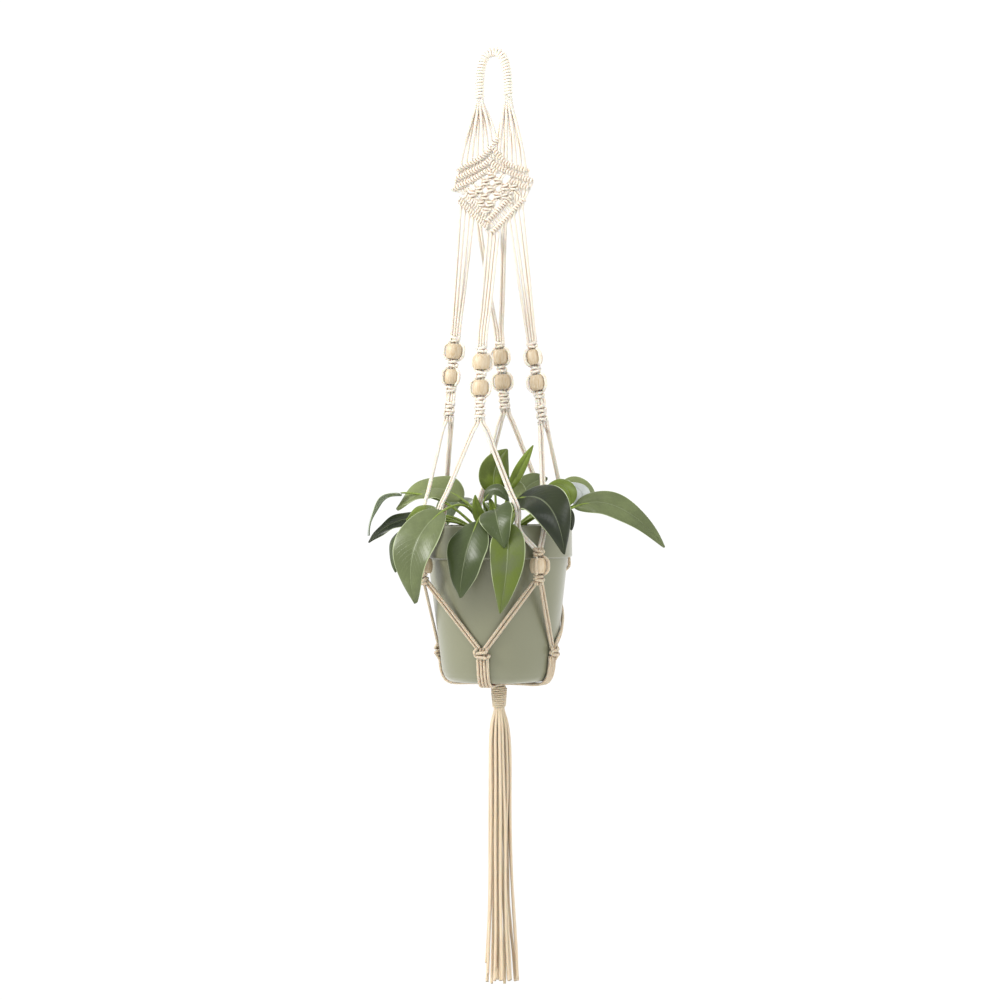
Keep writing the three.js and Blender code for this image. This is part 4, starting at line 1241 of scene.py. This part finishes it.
def stage_pieces():
    scene = bpy.context.scene
    start_modelling()
    bpy.ops.mesh.primitive_circle_add(vertices=96, radius=1.05, fill_type="NGON", location=(0, 0, -1.32))
    floor = name_piece("studio_floor")
    floor.data.materials.append(material("pale_floor"))

    world = bpy.data.worlds.new("studio")
    scene.world = world
    world.use_nodes = True
    tree = world.node_tree
    glow = tree.nodes["Background"]
    seen = tree.nodes.new("ShaderNodeLightPath")
    strength = tree.nodes.new("ShaderNodeMapRange")
    strength.inputs["To Min"].default_value = 1.08
    strength.inputs["To Max"].default_value = 1.05
    tree.links.new(seen.outputs["Is Camera Ray"], strength.inputs["Value"])
    tree.links.new(strength.outputs[0], glow.inputs["Strength"])
    glow.inputs["Color"].default_value = (1, 1, 1, 1)

    area_light("key_light", (-2.2, -1.6, 0.8), (0, 0, -0.5), 1.1, 92, (1.0, 0.985, 0.96))
    area_light("fill_light", (2.2, -1.2, 0.2), (0, 0, -0.55), 1.4, 22, (0.97, 0.985, 1.0))
    area_light("rim_light", (1.0, 2.3, 1.0), (0, 0, -0.5), 1.3, 34)
    top = area_light("top_light", (-0.15, -0.75, 0.3), (0, 0, -0.14), 0.25, 0.1, (1.0, 0.98, 0.95))
    top.spread = math.radians(45)

    camera = bpy.data.cameras.new("camera")
    viewer = bpy.data.objects.new("camera", camera)
    scene.collection.objects.link(viewer)
    turn = math.radians(15)
    right, away = Vector((math.cos(turn), math.sin(turn), 0)), Vector((-math.sin(turn), math.cos(turn), 0))
    viewer.location = right * 0.003 + Vector((0, 0, -0.497)) - away * 2.5
    level = away.to_track_quat("-Z", "Y")
    viewer.rotation_euler = (level @ Quaternion((0, 0, 1), math.radians(-0.5))).to_euler()
    camera.sensor_width, camera.lens = 36, 80.23
    camera.clip_start, camera.clip_end = 0.05, 30
    scene.camera = viewer
    scene.view_settings.view_transform = "Standard"


# ---- Add-on: settings, operators, panel ----
def length_setting(name, description, metres):
    return bpy.props.FloatProperty(
        name=name, description=description, subtype="DISTANCE", unit="LENGTH", min=0.0001, default=metres)


def color_setting(name, description, color):
    return bpy.props.FloatVectorProperty(
        name=name, description=description, subtype="COLOR", size=4, min=0, max=1, default=(*color, 1))


class PlanterSizes(bpy.types.PropertyGroup):
    cord: length_setting("Cord", "Diameter of the hanger's cords", 0.0036)
    winding_cord: length_setting("Winding cord", "Diameter of the cord wound round the loop", 0.0031)
    winding_pitch: length_setting("Winding pitch", "Spacing of the turns round the loop", 0.0034)
    gather_cord: length_setting("Gather cord", "Diameter of the cord wound round the gathering", 0.0025)
    gather_pitch: length_setting("Gather pitch", "Spacing of the turns round the gathering", 0.0023)
    stalk: length_setting("Stalk", "Radius of a leaf's stalk where it leaves the soil", 0.0021)
    leaf_thickness: length_setting("Leaf thickness", "Thickness of a leaf's blade", 0.0008)


class PlanterColors(bpy.types.PropertyGroup):
    cotton: color_setting("Cotton", "Cords of the upper hanger", (0.98, 0.925, 0.83))
    # The net and tassel colours are darker than the cotton. This is partly painted shade, because the lower
    # hanger gets less light, and partly these cords' own warmer tone.
    net: color_setting("Net cotton", "Cords of the arms and the net", (0.68, 0.585, 0.44))
    tassel: color_setting("Tassel cotton", "Cords of the tassel", (0.86, 0.72, 0.53))
    wood: color_setting("Bead wood", "Pale wood of the beads", (0.49, 0.415, 0.30))
    pot: color_setting("Pot", "Sage green of the pot", (0.165, 0.168, 0.102))
    soil: color_setting("Soil", "Potting soil", (0.030, 0.021, 0.014))
    leaf_shaded: color_setting("Shaded leaf", "Grey green of the broad leaves", (0.085, 0.105, 0.042))
    leaf_dark: color_setting("Dark leaf", "Deep green of the older leaves", (0.050, 0.070, 0.022))
    leaf_deep: color_setting("Deep leaf", "Darkest green, of the shaded leaves", (0.009, 0.014, 0.006))
    leaf_olive: color_setting("Olive leaf", "Middle green of the leaves", (0.165, 0.20, 0.075))
    leaf_young: color_setting("Young leaf", "Fresh green of the young leaves", (0.17, 0.235, 0.03))
    # Painted highlight: grey standing in for the sheen on green leaves.
    leaf_painted_sheen: color_setting("Silver leaf", "Greyish leaf at the edge", (0.36, 0.38, 0.37))
    leaf_under: color_setting("Leaf underside", "Pale underside of the leaves", (0.17, 0.22, 0.12))
    leaf_edge: color_setting("Leaf edge", "Thin pale line round each leaf", (0.42, 0.48, 0.28))
    floor: color_setting("Floor", "Studio floor", (0.92, 0.92, 0.91))


class PLANTER_OT_stage(bpy.types.Operator):
    """Set the floor, the studio lights and the camera"""
    bl_idname = "planter.stage"
    bl_label = "Stage"

    def execute(self, context):
        stage_pieces()
        return {"FINISHED"}


class PLANTER_OT_tassel(bpy.types.Operator):
    """Hang the free cords of the tassel"""
    bl_idname = "planter.tassel"
    bl_label = "Tassel"

    def execute(self, context):
        tassel_pieces()
        return {"FINISHED"}


class PLANTER_OT_loop(bpy.types.Operator):
    """Wind the hanging loop round its folded cords"""
    bl_idname = "planter.loop"
    bl_label = "Hanging loop"

    def execute(self, context):
        loop_pieces()
        return {"FINISHED"}


class PLANTER_OT_fans(bpy.types.Operator):
    """Spread the cords from the loop to the diamond"""
    bl_idname = "planter.fans"
    bl_label = "Fans"

    def execute(self, context):
        fan_pieces()
        return {"FINISHED"}


class PLANTER_OT_diamond(bpy.types.Operator):
    """Tie the rows of hitches and the square knots between them"""
    bl_idname = "planter.diamond"
    bl_label = "Diamond"

    def execute(self, context):
        diamond_pieces()
        return {"FINISHED"}


class PLANTER_OT_strands(bpy.types.Operator):
    """Hang the four strands and knot them round their beads"""
    bl_idname = "planter.strands"
    bl_label = "Strands"

    def execute(self, context):
        strand_pieces()
        return {"FINISHED"}


class PLANTER_OT_arms(bpy.types.Operator):
    """Lead the paired cords over the rim of the pot"""
    bl_idname = "planter.arms"
    bl_label = "Arms"

    def execute(self, context):
        arm_pieces()
        return {"FINISHED"}


class PLANTER_OT_rim_knots(bpy.types.Operator):
    """Tie the knots above and below the rim beads"""
    bl_idname = "planter.rim_knots"
    bl_label = "Rim knots"

    def execute(self, context):
        rim_knot_pieces()
        return {"FINISHED"}


class PLANTER_OT_net(bpy.types.Operator):
    """Draw the paired cords down the side of the pot"""
    bl_idname = "planter.net"
    bl_label = "Net"

    def execute(self, context):
        net_pieces()
        return {"FINISHED"}


class PLANTER_OT_base(bpy.types.Operator):
    """Tie the low knots and lead their cords under the pot"""
    bl_idname = "planter.base"
    bl_label = "Base cords"

    def execute(self, context):
        base_pieces()
        return {"FINISHED"}


class PLANTER_OT_gather(bpy.types.Operator):
    """Wind the gathering under the pot"""
    bl_idname = "planter.gather"
    bl_label = "Gather"

    def execute(self, context):
        gather_pieces()
        return {"FINISHED"}


class PLANTER_OT_beads(bpy.types.Operator):
    """Turn the wooden beads"""
    bl_idname = "planter.beads"
    bl_label = "Beads"

    def execute(self, context):
        bead_pieces()
        return {"FINISHED"}


class PLANTER_OT_pot(bpy.types.Operator):
    """Turn the pot"""
    bl_idname = "planter.pot"
    bl_label = "Pot"

    def execute(self, context):
        pot_piece()
        return {"FINISHED"}


class PLANTER_OT_soil(bpy.types.Operator):
    """Fill the pot with soil"""
    bl_idname = "planter.soil"
    bl_label = "Soil"

    def execute(self, context):
        soil_piece()
        return {"FINISHED"}


class PLANTER_OT_plant(bpy.types.Operator):
    """Grow the leaves and their stalks"""
    bl_idname = "planter.plant"
    bl_label = "Plant"

    def execute(self, context):
        plant_pieces()
        return {"FINISHED"}


OPERATORS = (
    PLANTER_OT_stage, PLANTER_OT_tassel, PLANTER_OT_loop, PLANTER_OT_fans, PLANTER_OT_diamond,
    PLANTER_OT_strands, PLANTER_OT_arms, PLANTER_OT_rim_knots, PLANTER_OT_net, PLANTER_OT_base,
    PLANTER_OT_gather, PLANTER_OT_beads, PLANTER_OT_pot, PLANTER_OT_soil, PLANTER_OT_plant,
)


class PLANTER_PT_panel(bpy.types.Panel):
    """The planter's pieces, sizes and colours in the sidebar"""
    bl_idname = "PLANTER_PT_panel"
    bl_label = "Hanging planter"
    bl_space_type = "VIEW_3D"
    bl_region_type = "UI"
    bl_category = "Planter"

    def draw(self, context):
        for made in OPERATORS:
            self.layout.operator(made.bl_idname)
        for key in PlanterSizes.__annotations__:
            self.layout.prop(context.scene.planter_sizes, key)
        for key in PlanterColors.__annotations__:
            self.layout.prop(context.scene.planter_colors, key)


CLASSES = (PlanterSizes, PlanterColors, *OPERATORS, PLANTER_PT_panel)


def register():
    for one in CLASSES:
        bpy.utils.register_class(one)
    bpy.types.Scene.planter_sizes = bpy.props.PointerProperty(type=PlanterSizes)
    bpy.types.Scene.planter_colors = bpy.props.PointerProperty(type=PlanterColors)


def unregister():
    del bpy.types.Scene.planter_colors
    del bpy.types.Scene.planter_sizes
    for one in reversed(CLASSES):
        bpy.utils.unregister_class(one)


def main():
    register()
    for made in OPERATORS:
        group, name = made.bl_idname.split(".")
        getattr(getattr(bpy.ops, group), name)()


if __name__ == "__main__":
    main()
